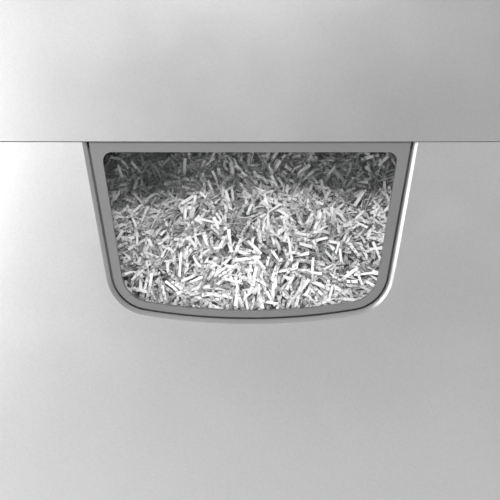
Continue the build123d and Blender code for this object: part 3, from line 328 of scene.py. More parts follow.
def laminated(name, sheet=1.0):
    """Stacked motor sheets along X. Real sheets are half a millimetre, drawn at one so that they show."""
    finish, tree = start_material(name)
    where = add(tree, "ShaderNodeTexCoord").outputs["Object"]
    split = add(tree, "ShaderNodeSeparateXYZ", {"Vector": where})
    beat = add(tree, "ShaderNodeMath", {0: split.outputs["X"], 1: 2 * pi * place_scale(sheet)},
               operation="MULTIPLY")
    wave = add(tree, "ShaderNodeMath", {0: beat.outputs[0]}, operation="SINE")
    edge = add(tree, "ShaderNodeMapRange", {"Value": wave.outputs[0], "From Min": -1.0, "From Max": -0.4})
    colour = add(tree, "ShaderNodeMix",
                 {0: edge.outputs[0], 6: linear("#2A2622"), 7: linear("#6E655C")}, data_type="RGBA")
    bump = add(tree, "ShaderNodeBump",
               {"Height": edge.outputs[0], "Distance": 0.05 * MM, "Strength": 0.6})
    end_material(tree, {"Base Color": colour.outputs[2], "Metallic": 0.8, "Roughness": 0.5},
                 bump.outputs["Normal"])
    return finish


def circuit_board(name, track=1.6):
    """Green solder mask with copper tracks that lift it slightly."""
    finish, tree = start_material(name)
    where = add(tree, "ShaderNodeTexCoord").outputs["Object"]
    cells = add(tree, "ShaderNodeTexVoronoi", {"Vector": where, "Scale": place_scale(track * 3)},
                distance="MANHATTAN", feature="F1")
    tracks = add(tree, "ShaderNodeMapRange",
                 {"Value": cells.outputs["Distance"], "From Min": 0.42, "From Max": 0.5})
    colour = add(tree, "ShaderNodeMix",
                 {0: tracks.outputs[0], 6: linear("#1F5A35"), 7: linear("#2F7A48")}, data_type="RGBA")
    bump = add(tree, "ShaderNodeBump",
               {"Height": tracks.outputs[0], "Distance": 0.04 * MM, "Strength": 0.7})
    end_material(tree, {"Base Color": colour.outputs[2], "Roughness": 0.3, "IOR": 1.5,
                        "Coat Weight": 0.5}, bump.outputs["Normal"])
    return finish


def rubber(name, code):
    """Polyurethane tyre: dull, with dust in its pores."""
    finish, tree = start_material(name)
    where = add(tree, "ShaderNodeTexCoord").outputs["Object"]
    pores = add(tree, "ShaderNodeTexNoise", {"Vector": where, "Scale": place_scale(0.8), "Detail": 4.0})
    dust = add(tree, "ShaderNodeTexNoise", {"Vector": where, "Scale": place_scale(9.0), "Detail": 5.0})
    dusty = add(tree, "ShaderNodeMapRange",
                {"Value": dust.outputs["Fac"], "From Min": 0.45, "From Max": 0.75, "To Max": 0.35})
    colour = add(tree, "ShaderNodeMix",
                 {0: dusty.outputs[0], 6: linear(code), 7: linear("#8A8781")}, data_type="RGBA")
    bump = add(tree, "ShaderNodeBump", {"Height": pores.outputs["Fac"], "Distance": 0.05 * MM})
    end_material(tree, {"Base Color": colour.outputs[2], "Roughness": 0.8, "IOR": 1.5},
                 bump.outputs["Normal"])
    return finish


def lens(name, code):
    """Cast clear lens, slightly milky, over an unlit lamp."""
    finish, tree = start_material(name)
    where = add(tree, "ShaderNodeTexCoord").outputs["Object"]
    milk = add(tree, "ShaderNodeTexNoise", {"Vector": where, "Scale": place_scale(1.2), "Detail": 2.0})
    colour = add(tree, "ShaderNodeMix",
                 {0: milk.outputs["Fac"], 6: shade(code, 0.9), 7: shade(code, 1.08)}, data_type="RGBA")
    end_material(tree, {"Base Color": colour.outputs[2], "Roughness": 0.12, "IOR": 1.49,
                        "Coat Weight": 0.5, "Coat Roughness": 0.05})
    return finish


small_parts = {
    "motor_core": laminated("laminated_motor_steel"),
    "board_green": circuit_board("fibreglass_circuit_board"),
    "castor_tyre": rubber("polyurethane_tyre", "#3A3A3C"),
    "led_clear": lens("milky_acrylic_lens", "#C9D4CF"),
}
print("other finishes:", sorted(small_parts))

# %% [markdown]
# ## The clear pane
# The window is a sheet of clear acrylic. A real one bends light a little, but a ray-traced solid pane
# would also shut out the lamps and leave the paper in the dark. So the pane is a thin veil: mostly
# see-through, with a glossy surface that still catches the light.

# %% Clear acrylic


def clear_pane(name):
    """Acrylic sheet, nearly invisible from the front, with faint cloudiness from handling."""
    finish, tree = start_material(name)
    where = add(tree, "ShaderNodeTexCoord").outputs["Object"]
    haze = add(tree, "ShaderNodeTexNoise", {"Vector": where, "Scale": place_scale(30.0), "Detail": 4.0})
    veil = add(tree, "ShaderNodeMapRange",
               {"Value": haze.outputs["Fac"], "From Min": 0.3, "From Max": 0.7, "To Min": 0.012,
                "To Max": 0.022})
    end_material(tree, {"Base Color": linear("#C8CCCC"), "Roughness": 0.06, "IOR": 1.49,
                        "Alpha": veil.outputs[0]})
    return finish


pane = {"clear_pane": clear_pane("clear_acrylic_sheet")}
print("the pane lets through about 98 percent of the light")

# %% [markdown]
# ## Shredded office paper
# Cut office paper is white copy paper with black print on it. Each strip carries a piece of a text
# line, so some strips are clean and some are peppered with grey. The strips are made further down with
# three attributes on them: a random number, the distance along and across the strip, and how deep the
# strip lies in its layer. The paper reads all three, so the print follows each strip instead of
# floating through the heap, and a buried strip gets painted shade: its colour is darker than the one on
# top of it. Real strips are crumpled far tighter than these, so the shadows between them would be too
# weak without that painted shade.

# %% Printed copy paper
PRINT_LINE = 4.2             # millimetres between lines of text
LETTER = 0.9                 # millimetres, the width of a letter's stroke groups
# DEEP_SHADE is painted shade: the deepest strip's colour is darkened by this share
DEEP_SHADE = 0.75            # share of its white that the deepest strip loses


def printed_paper(name):
    """White copy paper; strips whose random number is high carry text; deeper ones get painted shade."""
    finish, tree = start_material(name)
    chance = add(tree, "ShaderNodeAttribute", attribute_name="ink").outputs["Fac"]
    along = add(tree, "ShaderNodeAttribute", attribute_name="print_place").outputs["Vector"]
    letters = add(tree, "ShaderNodeTexNoise",
                  {"Vector": along, "Scale": place_scale(LETTER), "Detail": 2.0, "Roughness": 0.7})
    marks = add(tree, "ShaderNodeMapRange",
                {"Value": letters.outputs["Fac"], "From Min": 0.48, "From Max": 0.6})
    split = add(tree, "ShaderNodeSeparateXYZ", {"Vector": along})
    beat = add(tree, "ShaderNodeMath", {0: split.outputs["X"], 1: 2 * pi * place_scale(PRINT_LINE)},
               operation="MULTIPLY")
    row = add(tree, "ShaderNodeMath", {0: beat.outputs[0]}, operation="SINE")
    line = add(tree, "ShaderNodeMapRange", {"Value": row.outputs[0], "From Min": -0.3, "From Max": 0.1})
    text = add(tree, "ShaderNodeMath", {0: marks.outputs[0], 1: line.outputs[0]}, operation="MULTIPLY")
    printed = add(tree, "ShaderNodeMapRange", {"Value": chance, "From Min": 0.42, "From Max": 0.5})
    ink = add(tree, "ShaderNodeMath", {0: text.outputs[0], 1: printed.outputs[0]}, operation="MULTIPLY")
    sheet_tone = add(tree, "ShaderNodeValToRGB", {"Fac": chance})
    ramp = sheet_tone.color_ramp
    ramp.elements[0].position, ramp.elements[0].color = 0.5, linear("#F2F2F2")
    ramp.elements[1].position, ramp.elements[1].color = 1.0, linear("#8C8C8D")
    colour = add(tree, "ShaderNodeMix",
                 {0: ink.outputs[0], 6: sheet_tone.outputs["Color"], 7: linear("#4A4A4C")},
                 data_type="RGBA")
    # painted shade: the deeper a strip lies in its layer, the more its colour turns dark grey
    depth = add(tree, "ShaderNodeAttribute", attribute_name="depth").outputs["Fac"]
    painted_shade = add(tree, "ShaderNodeMapRange",
                {"Value": depth, "From Min": 0.15, "From Max": 0.75, "To Max": DEEP_SHADE})
    shaded_colour = add(tree, "ShaderNodeMix",
                 {0: painted_shade.outputs[0], 6: colour.outputs[2], 7: linear("#2A2A2B")}, data_type="RGBA")
    end_material(tree, {"Base Color": shaded_colour.outputs[2], "Roughness": 0.85, "IOR": 1.45})
    return finish


def packed_paper(name):
    """What shows between the strips: more paper, with deep shadow painted into its dark colour."""
    finish, tree = start_material(name)
    where = add(tree, "ShaderNodeTexCoord").outputs["Object"]
    turned = add(tree, "ShaderNodeMapping", {"Vector": where, "Scale": (1.0, 1.0, 2.5)})
    strips = add(tree, "ShaderNodeTexNoise",
                 {"Vector": turned.outputs["Vector"], "Scale": place_scale(4.0), "Detail": 4.0})
    # painted shade: a streaky pattern of packed strips, in colours as dark as their shadow
    colour = add(tree, "ShaderNodeMix",
                 {0: strips.outputs["Fac"], 6: linear("#1E1E1E"), 7: linear("#7C7C7B")}, data_type="RGBA")
    bump = add(tree, "ShaderNodeBump", {"Height": strips.outputs["Fac"], "Distance": 1.5 * MM})
    end_material(tree, {"Base Color": colour.outputs[2], "Roughness": 0.9}, bump.outputs["Normal"])
    return finish


paper = printed_paper("printed_copy_paper")
shade_painted_paper = packed_paper("packed_paper_painted_shade")
print("text lines every", PRINT_LINE, "mm")

# %% [markdown]
# ## Dress the CAD pieces
# Every CAD piece has a slot name in the record, such as zinc_steel, so one loop can hand each piece
# its finish. The record keeps the slot names, so a finish can be changed later in one place.

# %% Hand out the finishes
finishes = {**mouldings, **paints, **metals, **small_parts, **pane, "paper": shade_painted_paper}
for piece in frame["record"]["subparts"]:
    mesh = frame["nodes"][piece["node"]].data
    mesh.materials.clear()
    mesh.materials.append(finishes[piece["material_slot"]])

# %% [markdown]
# ## The shape of the heap
# Shredded paper falls from the cutters in the middle of the bin and slides towards the walls. Against
# the window it stands upright, pressed flat by the paper behind it, and above that it slopes back to
# the crown. The slope could be sculpted, but it is a simple rule, so one formula gives the height at
# any place, and both the solid core and the loose strips follow it. Towards the window's sides the
# slope is hollow: the paper leaves the window lower there and climbs more slowly.

# %% The heap's rule
BOW_RADIUS = 2.85            # metres, of the machine's bowed front, seen from above
bucket_low, bucket_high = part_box("shredded_paper")
pane_low, pane_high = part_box("window_pane")
PANE_BACK = pane_high.y - pane_high.x ** 2 / (2 * BOW_RADIUS)
FOOT_OF_SLOPE = 361 * MM     # height at which the paper leaves the window, at its highest
CROWN = 430 * MM             # height of the heap's top
SLOPE_DEPTH = 70 * MM        # from the window back to the crown
SLOPE_POWER = 0.8            # below 1 the slope is steepest at its foot
LEFT_HOLLOW = 0.6            # how hollow the slope is at the window's left side, 0 to 1
RIGHT_HOLLOW = 0.3
HOLLOW_START = 0.25          # where it begins, as a share of the window's half width,
HOLLOW_SPREAD = 0.5          # and the share of it over which it grows
HOLLOW_FOOT = 34 * MM        # a full hollow leaves the window this much lower,
HOLLOW_DEPTH = 24 * MM       # reaches the crown this much further back,
HOLLOW_POWER = 0.3           # and is this much more curved
CROWN_Y = -20 * MM           # behind this place the heap falls again,
REAR_DROP = 24 * MM          # by this much at the bin's back,
SIDE_DROP = 12 * MM          # and by this much at its sides
HILLS = (22, 3.1, 4)         # waves in a metre, a place in the noise, height in millimetres
TUFTS = (75, 8.4, 2.5)
BUMPS_AT_WINDOW = 0.25       # share of the hills and tufts that is left at the window
BUMPS_GROWTH = 2             # how fast they grow back to full height over the slope


def sag(x):
    """How far the bowed front has fallen back at x."""
    return x * x / (2 * BOW_RADIUS)


def hollow(x):
    """From 0 in the middle of the window to 1 at a side where the slope is fully hollow."""
    share = min(1.0, max(0.0, abs(x) / pane_high.x - HOLLOW_START) / HOLLOW_SPREAD)
    return (LEFT_HOLLOW if x < 0 else RIGHT_HOLLOW) * share * share * (3 - 2 * share)


def foot_height(x):
    """Height at which the paper leaves the window."""
    return FOOT_OF_SLOPE - HOLLOW_FOOT * hollow(x)


def bumps(x, y, waves, place, height):
    """Smooth noise over the heap, up and down."""
    return noise.noise(Vector((x * waves, y * waves, place))) * height * MM


def heap_height(x, y):
    """Height of the paper's surface at a place in the bin."""
    depth = max(0.0, y - PANE_BACK - sag(x))
    foot = foot_height(x)
    share = min(1.0, depth / (SLOPE_DEPTH + HOLLOW_DEPTH * hollow(x)))
    height = foot + (CROWN - foot) * share ** (SLOPE_POWER + HOLLOW_POWER * hollow(x))
    height -= REAR_DROP * (max(0.0, y - CROWN_Y) / (bucket_high.y - CROWN_Y)) ** 2
    height -= SIDE_DROP * (abs(x) / bucket_high.x) ** 4
    strength = min(1.0, BUMPS_AT_WINDOW + BUMPS_GROWTH * depth / SLOPE_DEPTH)
    return height + (bumps(x, y, *HILLS) + bumps(x, y, *TUFTS)) * strength


print("pane's back at", round(PANE_BACK * 1000, 2), "mm, crown at", CROWN * 1000, "mm")

# %% [markdown]
# ## The core of the heap
# Nobody sees the middle of the heap, so it is one closed lump just under the loose strips. Its colour is
# painted shade, dark like the shaded gaps between them. It is a grid over the bin whose top follows the
# rule, and a skirt down to a flat base.

# %% Make the core
CORE_DEPTH = 4.5 * MM        # how far the core lies under the heap's surface


def mesh_object(name, bm, finish):
    """Turns a bmesh into an object of its own, at the origin."""
    mesh = bpy.data.meshes.new(name)
    bm.to_mesh(mesh)
    bm.free()
    mesh.materials.append(finish)
    piece = bpy.data.objects.new(name, mesh)
    bpy.context.scene.collection.objects.link(piece)
    return piece


def make_core(columns=68, rows=48):
    """The closed lump under the strips."""
    bm = bmesh.new()
    top, base = [], []
    for j in range(rows + 1):
        for i in range(columns + 1):
            x = bucket_low.x + (bucket_high.x - bucket_low.x) * i / columns
            front = bucket_low.y + sag(x)
            y = front + (bucket_high.y - front) * j / rows
            top.append(bm.verts.new((x, y, heap_height(x, y - CORE_DEPTH) - CORE_DEPTH)))
            base.append(bm.verts.new((x, y, bucket_low.z)))
    across = columns + 1
    for j in range(rows):
        for i in range(columns):
            a = j * across + i
            bm.faces.new((top[a], top[a + 1], top[a + across + 1], top[a + across]))
            bm.faces.new((base[a], base[a + across], base[a + across + 1], base[a + 1]))
    rim = list(range(across))
    rim += [j * across + columns for j in range(1, rows + 1)]
    rim += [rows * across + i for i in range(columns - 1, -1, -1)]
    rim += [j * across for j in range(rows - 1, 0, -1)]
    for a, b in zip(rim, rim[1:] + rim[:1]):
        bm.faces.new((base[a], base[b], top[b], top[a]))
    bmesh.ops.recalc_face_normals(bm, faces=bm.faces)
    return mesh_object("paper_core", bm, shade_painted_paper)


core = make_core()
print("core faces:", len(core.data.polygons))

# %% [markdown]
# ## The loose strips
# A shredder like this one drops strips about two millimetres wide and fifteen long, thousands of
# them. Placing them by hand is out of the question, and a particle system can't give each strip its
# own curl. Geometry Nodes can: it scatters points over a skin, hands each point a random size, turn,
# curl and twist, puts a thin strip there, and bends the strip afterwards. Neighbours share a rough
# direction, because strips fall in sheaves.

# %% Build the strip tree
GROUP_INPUTS = (
    ("Strip Length", "NodeSocketFloat", 15 * MM),
    ("Strip Width", "NodeSocketFloat", 1.85 * MM),
    ("Strip Thickness", "NodeSocketFloat", 0.14 * MM),
    ("Strips per Area", "NodeSocketFloat", 150000.0),
    ("Layer Depth", "NodeSocketFloat", 5 * MM),
    ("Tilt", "NodeSocketFloat", 0.75),
    ("Shade by Depth", "NodeSocketFloat", 1.0),
    ("Curl", "NodeSocketFloat", 4.0 * MM),
    ("Sheaf Size", "NodeSocketFloat", 11 * MM),
    ("Wall Y", "NodeSocketFloat", -1.0),
    ("Segments", "NodeSocketInt", 5),
    ("Seed", "NodeSocketInt", 7),
    ("Paper", "NodeSocketMaterial", None),
)
LEAN_BACK = 0.35             # how far a steep strip leans back, as a share of its rise
SHEAF_POWER = 3.0            # the higher, the fewer strips leave their sheaf's direction
CURL_POWER = 2.2             # the higher, the fewer strips curl much
TWIST = 0.35                 # the most that twisting lifts a corner, as a share of the strip's width
LENGTHS = (0.55, 1.1)        # shares of the strip's length
WIDTHS = (0.8, 1.15)         # shares of its width
PAGES = 9.0                  # how many pages the strips are cut from
PAGE_SIZE = 0.1              # metres of print on each


def strip_tree():
    """The node group that covers a skin with curled strips."""
    tree = bpy.data.node_groups.new("strip_scatter", "GeometryNodeTree")
    tree.interface.new_socket("Geometry", in_out="INPUT", socket_type="NodeSocketGeometry")
    for name, kind, value in GROUP_INPUTS:
        socket = tree.interface.new_socket(name, in_out="INPUT", socket_type=kind)
        if value is not None:
            socket.default_value = value
    tree.interface.new_socket("Geometry", in_out="OUTPUT", socket_type="NodeSocketGeometry")
    given = add(tree, "NodeGroupInput").outputs

    def random_number(low, high, salt):
        seed = add(tree, "FunctionNodeIntegerMath", {0: given["Seed"], 1: salt}, operation="ADD")
        return add(tree, "FunctionNodeRandomValue", {2: low, 3: high, "Seed": seed.outputs[0]},
                   data_type="FLOAT").outputs[1]

    def calc(kind, a, b=0.0):
        return add(tree, "ShaderNodeMath", {0: a, 1: b}, operation=kind).outputs[0]

    points = add(tree, "GeometryNodeDistributePointsOnFaces",
                 {"Mesh": given["Geometry"], "Density": given["Strips per Area"], "Seed": given["Seed"]})
    normal = points.outputs["Normal"]
    place = add(tree, "GeometryNodeInputPosition").outputs[0]

    # each strip's direction: one random turn for a whole sheaf, and a random part for each strip
    sheaf_scale = calc("DIVIDE", 1.0, given["Sheaf Size"])
    sheaf = add(tree, "ShaderNodeTexVoronoi", {"Vector": place, "Scale": sheaf_scale})
    sheaf_draw = add(tree, "ShaderNodeSeparateXYZ", {"Vector": sheaf.outputs["Color"]})
    sheaf_turn = calc("MULTIPLY", sheaf_draw.outputs["X"], 2 * pi)
    own_turn = calc("POWER", random_number(0.0, 1.0, 11), SHEAF_POWER)
    own_turn = calc("MULTIPLY", own_turn, calc("MULTIPLY", random_number(-1.0, 1.0, 12), pi))
    turn = calc("ADD", sheaf_turn, own_turn)
    flat_x = calc("COSINE", turn)
    flat_y = calc("SINE", turn)
    run = add(tree, "ShaderNodeCombineXYZ",
              {"X": flat_x, "Y": calc("MULTIPLY", flat_y, LEAN_BACK), "Z": flat_y}).outputs[0]
    wobble = add(tree, "FunctionNodeRandomValue",
                 {0: (-1.0, -1.0, -1.0), 1: (1.0, 1.0, 1.0), "Seed": given["Seed"]},
                 data_type="FLOAT_VECTOR").outputs[0]
    lean = add(tree, "ShaderNodeVectorMath", {0: wobble, "Scale": given["Tilt"]}, operation="SCALE")
    lift = add(tree, "ShaderNodeVectorMath", {0: normal, 1: lean.outputs[0]}, operation="ADD")
    lift = add(tree, "ShaderNodeVectorMath", {0: lift.outputs[0]}, operation="NORMALIZE").outputs[0]
    pose = add(tree, "FunctionNodeAxesToRotation", {0: lift, 1: run}, primary_axis="Z",
               secondary_axis="X").outputs[0]

    # strips lie at every depth of the top layer
    depth = random_number(0.0, 1.0, 13)
    sink = calc("MULTIPLY", calc("MULTIPLY", depth, -1.0), given["Layer Depth"])
    drop = add(tree, "ShaderNodeVectorMath", {0: normal, "Scale": sink}, operation="SCALE").outputs[0]
    layered = add(tree, "GeometryNodeSetPosition",
                  {"Geometry": points.outputs["Points"], "Offset": drop}).outputs[0]

    def keep(geometry, name, value, kind):
        return add(tree, "GeometryNodeStoreNamedAttribute",
                   {"Geometry": geometry, "Name": name, "Value": value},
                   data_type=kind, domain="POINT").outputs[0]

    curl = calc("MULTIPLY", calc("POWER", random_number(0.0, 1.0, 14), CURL_POWER), given["Curl"])
    layered = keep(layered, "ink", random_number(0.0, 1.0, 15), "FLOAT")
    # the depth, times Shade by Depth, sets how much painted shade the paper gives each strip
    layered = keep(layered, "depth", calc("MULTIPLY", depth, given["Shade by Depth"]), "FLOAT")
    layered = keep(layered, "curl", curl, "FLOAT")
    twist = calc("MULTIPLY", random_number(-TWIST, TWIST, 16), given["Strip Width"])
    layered = keep(layered, "twist", twist, "FLOAT")
    layered = keep(layered, "lift", lift, "FLOAT_VECTOR")
    layered = keep(layered, "page", random_number(0.0, PAGES, 17), "FLOAT")

    # one flat strip, which remembers how far along and across each corner is
    size = add(tree, "ShaderNodeCombineXYZ",
               {"X": given["Strip Length"], "Y": given["Strip Width"], "Z": given["Strip Thickness"]})
    strip = add(tree, "GeometryNodeMeshCube",
                {"Size": size.outputs[0], "Vertices X": given["Segments"], "Vertices Y": 2,
                 "Vertices Z": 2}).outputs["Mesh"]
    corner = add(tree, "ShaderNodeSeparateXYZ", {"Vector": place})
    along = calc("DIVIDE", calc("MULTIPLY", corner.outputs["X"], 2.0), given["Strip Length"])
    across = calc("DIVIDE", calc("MULTIPLY", corner.outputs["Y"], 2.0), given["Strip Width"])
    strip = keep(strip, "along", along, "FLOAT")
    strip = keep(strip, "across", across, "FLOAT")
    strip = keep(strip, "print_place", place, "FLOAT_VECTOR")

    stretch = add(tree, "ShaderNodeCombineXYZ",
                  {"X": random_number(*LENGTHS, 18), "Y": random_number(*WIDTHS, 19), "Z": 1.0})
    laid = add(tree, "GeometryNodeInstanceOnPoints",
               {"Points": layered, "Instance": strip, "Rotation": pose, "Scale": stretch.outputs[0]})
    loose = add(tree, "GeometryNodeRealizeInstances", {"Geometry": laid.outputs[0]}).outputs[0]

    def remembered(name, kind="FLOAT"):
        return add(tree, "GeometryNodeInputNamedAttribute", {"Name": name}, data_type=kind).outputs[0]

    # curl and twist each strip, away from the skin
    bow = calc("MULTIPLY", remembered("curl"), calc("MULTIPLY", remembered("along"), remembered("along")))
    wring = calc("MULTIPLY", remembered("twist"),
                 calc("MULTIPLY", remembered("along"), remembered("across")))
    bend = add(tree, "ShaderNodeVectorMath",
               {0: remembered("lift", "FLOAT_VECTOR"), "Scale": calc("SUBTRACT", wring, bow)},
               operation="SCALE").outputs[0]
    bent = add(tree, "GeometryNodeSetPosition", {"Geometry": loose, "Offset": bend}).outputs[0]

    # nothing may pass through the bowed window: what would is pressed flat against it
    spot = add(tree, "ShaderNodeSeparateXYZ", {"Vector": place})
    fall = calc("DIVIDE", calc("MULTIPLY", spot.outputs["X"], spot.outputs["X"]), 2 * BOW_RADIUS)
    wall = calc("ADD", given["Wall Y"], fall)
    pressed = add(tree, "ShaderNodeCombineXYZ",
                  {"X": spot.outputs["X"], "Y": calc("MAXIMUM", spot.outputs["Y"], wall),
                   "Z": spot.outputs["Z"]})
    kept_in = add(tree, "GeometryNodeSetPosition",
                  {"Geometry": bent, "Position": pressed.outputs[0]}).outputs[0]

    # the print starts at another place on every strip
    page = calc("MULTIPLY", remembered("page"), PAGE_SIZE)
    shift = add(tree, "ShaderNodeCombineXYZ", {"X": page, "Y": page, "Z": page})
    printed = add(tree, "ShaderNodeVectorMath",
                  {0: remembered("print_place", "FLOAT_VECTOR"), 1: shift.outputs[0]}, operation="ADD")
    inked = keep(kept_in, "print_place", printed.outputs[0], "FLOAT_VECTOR")
    for name in ("curl", "twist", "lift", "page", "along", "across"):
        inked = add(tree, "GeometryNodeRemoveAttribute", {"Geometry": inked, "Name": name}).outputs[0]
    finished = add(tree, "GeometryNodeSetMaterial", {"Geometry": inked, "Material": given["Paper"]})
    add(tree, "NodeGroupOutput", {"Geometry": finished.outputs[0]})
    return tree


scatter = strip_tree()
print("strip tree:", len(scatter.nodes), "nodes")

# %% [markdown]
# ## Run the tree over a skin
# The modifier's inputs are set by their identifiers, not their names, and the evaluated result is
# copied into a plain mesh. The skin and its modifier are then thrown away.

# %% Scatter helper


def run_tree(name, skin, tree, values):
    """Runs a node group on a skin and leaves one plain mesh object."""
    modifier = skin.modifiers.new("scatter", "NODES")
    modifier.node_group = tree
    names = {item.name: item.identifier for item in tree.interface.items_tree if item.in_out == "INPUT"}
    for key, value in values.items():
        modifier[names[key]] = value
    bpy.context.view_layer.update()
    graph = bpy.context.evaluated_depsgraph_get()
    mesh = bpy.data.meshes.new_from_object(skin.evaluated_get(graph), preserve_all_data_layers=True,
                                           depsgraph=graph)
    mesh.name = name
    piece = bpy.data.objects.new(name, mesh)
    bpy.context.scene.collection.objects.link(piece)
    skin_mesh = skin.data
    bpy.data.objects.remove(skin)
    bpy.data.meshes.remove(skin_mesh)
    return piece


def skin_from(name, columns, rows, place):
    """An open grid whose corners place(u, v) gives, u and v from 0 to 1."""
    bm = bmesh.new()
    grid = [[bm.verts.new(place(i / columns, j / rows)) for i in range(columns + 1)]
            for j in range(rows + 1)]
    for j in range(rows):
        for i in range(columns):
            bm.faces.new((grid[j][i], grid[j][i + 1], grid[j + 1][i + 1], grid[j + 1][i]))
    return mesh_object(name, bm, paper)


print("ready to scatter")

# %% [markdown]
# ## Strips behind the window
# The skin goes up the inside of the pane and then back over the slope, a little wider than the clear
# area. Its lower part is upright, so the strips there lie flat on the pane. The two parts become two
# meshes, because one would be too heavy to handle.

# %% Scatter behind the window
BEHIND_PANE = 1.0 * MM       # from the pane to the skin
PRESS_GAP = 0.25 * MM        # from the pane to a strip that is pressed against it
SLOPE_LENGTH = 108 * MM      # how far back the skin goes
PAST_PANE = 6 * MM           # how far it goes past each side of the pane
half_width = pane_high.x + PAST_PANE


def upright_skin(u, v):
    """Up the pane."""
    x = (2 * u - 1) * half_width
    return (x, PANE_BACK + sag(x) + BEHIND_PANE, pane_low.z + (foot_height(x) - pane_low.z) * v)


def slope_skin(u, v):
    """Back over the slope, with closer rows where it is steep."""
    x = (2 * u - 1) * half_width
    y = PANE_BACK + sag(x) + BEHIND_PANE + SLOPE_LENGTH * v ** 2
    return (x, y, heap_height(x, y))


window_shreds = run_tree("window_shreds", skin_from("upright_skin", 40, 8, upright_skin), scatter, {
    "Strips per Area": 170000.0, "Layer Depth": 5.5 * MM, "Wall Y": PANE_BACK + PRESS_GAP,
    "Shade by Depth": 0.6, "Segments": 6, "Seed": 11, "Paper": paper})
slope_shreds = run_tree("slope_shreds", skin_from("slope_skin", 60, 50, slope_skin), scatter, {
    "Strips per Area": 150000.0, "Layer Depth": 6.0 * MM, "Wall Y": PANE_BACK + PRESS_GAP,
    "Segments": 5, "Seed": 23, "Paper": paper})
for piece in (window_shreds, slope_shreds):
    print(piece.name, "in triangles:", sum(len(p.vertices) - 2 for p in piece.data.polygons))

# %% [markdown]
# ## Strips on top of the heap
# The rest of the heap shows only when the bin is pulled out, so its strips have fewer bends in them.

# %% Scatter over the top
SIDE_ROOM = 9 * MM           # from the bin's walls to the skin


def top_skin(u, v):
    """Over the whole heap, a strip's half length inside the bin's walls."""
    x = bucket_low.x + SIDE_ROOM + (bucket_high.x - bucket_low.x - 2 * SIDE_ROOM) * u
    front = bucket_low.y + sag(x) + SIDE_ROOM
    y = front + (bucket_high.y - SIDE_ROOM - front) * v
    return (x, y, heap_height(x, y))


top_shreds = run_tree("top_shreds", skin_from("top_skin", 60, 48, top_skin), scatter, {
    "Strips per Area": 76000.0, "Layer Depth": 4.0 * MM, "Wall Y": bucket_low.y,
    "Segments": 4, "Seed": 31, "Paper": paper})
print("top strips, in triangles:", sum(len(p.vertices) - 2 for p in top_shreds.data.polygons))

for piece in (core, window_shreds, slope_shreds, top_shreds):
    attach(piece, "bin")
    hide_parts("shredded_paper")

# %% [markdown]
# ## Marks on the keys
# Any such machine has the same plain marks: a ring with a bar for power, an arrow back and an arrow
# on, and the bar and ring of a mains switch. A mark could be painted by a texture, but a thin skin of
# ink is simpler to place. Its outline is drawn flat, then dropped onto the key, so it follows the
# key's own surface.

# %% Print the marks
INK_RISE = 0.05 * MM         # above the key's surface
INK_ROOT = 0.10 * MM         # below it, so that no edge floats
DROP_HEIGHT = 5              # millimetres above the key, where the outline is let fall from
WELD = 0.0001 * MM           # corners closer than this are one corner
SAME_FACE = 0.02 * MM        # corners this close to the outermost one share its face
RING_RADIUS = 2.4 * MM
LINE_WIDTH = 0.6 * MM
BAR_LENGTH = 2.2 * MM
ARROW_LENGTH = 3.4 * MM
ARROW_TIP = LINE_WIDTH / 4
SWITCH_RING = 1.5 * MM       # radius
POWER_GAP = radians(38.0)    # half of the opening in the power ring


def key_ink(name, code):
    """Pad-printed ink, slightly uneven."""
    finish, tree = start_material(name)
    where = add(tree, "ShaderNodeTexCoord").outputs["Object"]
    film = add(tree, "ShaderNodeTexNoise", {"Vector": where, "Scale": place_scale(0.5), "Detail": 2.0})
    rough = add(tree, "ShaderNodeMapRange", {"Value": film.outputs["Fac"], "To Min": 0.4, "To Max": 0.6})
    end_material(tree, {"Base Color": linear(code), "Roughness": rough.outputs[0]})
    return finish


def arc(radius, start, stop, steps=32):
    """A curved line as pairs of points, one on each side of it."""
    ways = [start + (stop - start) * i / steps for i in range(steps + 1)]
    return [[Vector((cos(a), sin(a))) * (radius + side * LINE_WIDTH / 2) for side in (-1, 1)]
            for a in ways]


def taper(length, start_width, end_width, middle=0.0, turned=False):
    """A straight line about a middle, as pairs of points: a bar, or an arrow if its widths differ."""
    pairs = []
    for way, width in ((-0.5, start_width), (0.5, end_width)):
        spots = [Vector((way * length, side * width / 2)) for side in (-1, 1)]
        pairs.append([Vector((-p.y, p.x + middle)) if turned else p for p in spots])
    return pairs


def print_mark(name, node, body, centre, out, lines, finish):
    """Drops the lines of a mark onto a key, seen along its outward direction."""
    target = BVHTree.FromObject(frame["nodes"][node], bpy.context.evaluated_depsgraph_get())
    right = Vector((0, 0, 1)).cross(out).normalized()
    up = out.cross(right)
    bm = bmesh.new()
    for pairs in lines:
        rings = []
        for inner, outer in pairs:
            starts = [centre + right * p.x + up * p.y + out * DROP_HEIGHT * MM for p in (inner, outer)]
            spots = [target.ray_cast(start, -out)[0] for start in starts]
            low, high = [[spot + out * rise for spot in spots] for rise in (-INK_ROOT, INK_RISE)]
            rings.append([bm.verts.new(co) for co in (low[0], low[1], high[1], high[0])])
        for a, b in zip(rings, rings[1:]):
            for i in range(4):
                bm.faces.new((a[i], a[(i + 1) % 4], b[(i + 1) % 4], b[i]))
        is_ring = (pairs[0][0] - pairs[-1][0]).length < WELD
        if not is_ring:      # a ring has no ends to close
            bm.faces.new(rings[0])
            bm.faces.new(rings[-1])
    bmesh.ops.remove_doubles(bm, verts=bm.verts, dist=WELD)
    bmesh.ops.recalc_face_normals(bm, faces=bm.faces)
    mark = mesh_object(name, bm, finish)
    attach(mark, body)
    return mark


def top_centre(node, out):
    """The middle of a key's outermost face."""
    spots = [v.co for v in frame["nodes"][node].data.vertices]
    reach = max(spot.dot(out) for spot in spots)
    rim = [spot for spot in spots if reach - spot.dot(out) < SAME_FACE]
    return Vector([(min(s[i] for s in rim) + max(s[i] for s in rim)) / 2 for i in range(3)])


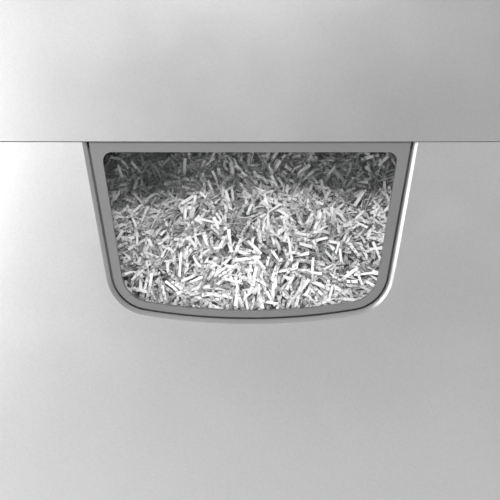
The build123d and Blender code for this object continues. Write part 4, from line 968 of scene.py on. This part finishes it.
panel_face = max((p for p in frame["nodes"]["control_panel"].data.polygons if p.normal.z > 0.5),
                 key=lambda p: p.area).normal.copy()
power_sign = [arc(RING_RADIUS, pi / 2 + POWER_GAP, 5 * pi / 2 - POWER_GAP),
              taper(BAR_LENGTH, LINE_WIDTH, LINE_WIDTH, RING_RADIUS - BAR_LENGTH / 4, turned=True)]
back_arrow = [taper(-ARROW_LENGTH, ARROW_LENGTH, ARROW_TIP)]
on_arrow = [taper(ARROW_LENGTH, ARROW_LENGTH, ARROW_TIP)]
dark_ink = key_ink("dark_grey_ink", "#3A3A3C")
white_ink = key_ink("white_ink", "#E4E4E2")
marks = []
for name, node, body, lines in (("power_mark", "power_button", "power_key", power_sign),
                                ("reverse_mark", "reverse_button", "reverse_key", back_arrow),
                                ("forward_mark", "forward_button", "forward_key", on_arrow)):
    marks.append(print_mark(name, node, body, top_centre(node, panel_face), panel_face, lines, dark_ink))

rocker_low, rocker_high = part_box("rocker_switch")
backwards = Vector((0, 1, 0))
on_bar = [taper(2 * SWITCH_RING, LINE_WIDTH, LINE_WIDTH, turned=True)]
off_ring = [arc(SWITCH_RING, 0.0, 2 * pi)]
for name, share, lines in (("switch_on_mark", 0.75, on_bar), ("switch_off_mark", 0.25, off_ring)):
    middle = rocker_low.lerp(rocker_high, 0.5)
    middle.z = rocker_low.z + share * (rocker_high.z - rocker_low.z)
    marks.append(print_mark(name, "rocker_switch", "mains_rocker", middle, backwards, lines, white_ink))
print("marks printed:", len(marks))

# %% [markdown]
# ## Floor
# The machine stands on a plain pale floor that runs far past the picture, so its edge never shows and
# its shadow tells the eye that the castors touch the ground.

# %% Lay the floor


def lay_floor(half=4.0):
    """A plain pale floor at the foot of the castors."""
    finish, tree = start_material("pale_floor")
    where = add(tree, "ShaderNodeTexCoord").outputs["Object"]
    speck = add(tree, "ShaderNodeTexNoise", {"Vector": where, "Scale": place_scale(2.0), "Detail": 3.0})
    colour = add(tree, "ShaderNodeMix",
                 {0: speck.outputs["Fac"], 6: linear("#DEDEDD"), 7: linear("#E4E4E3")}, data_type="RGBA")
    end_material(tree, {"Base Color": colour.outputs[2], "Roughness": 0.7})
    bm = bmesh.new()
    corners = [bm.verts.new((x * half, y * half, 0.0)) for x, y in ((-1, -1), (1, -1), (1, 1), (-1, 1))]
    bm.faces.new(corners)
    return mesh_object("floor", bm, finish)


lay_floor()
print("floor laid")
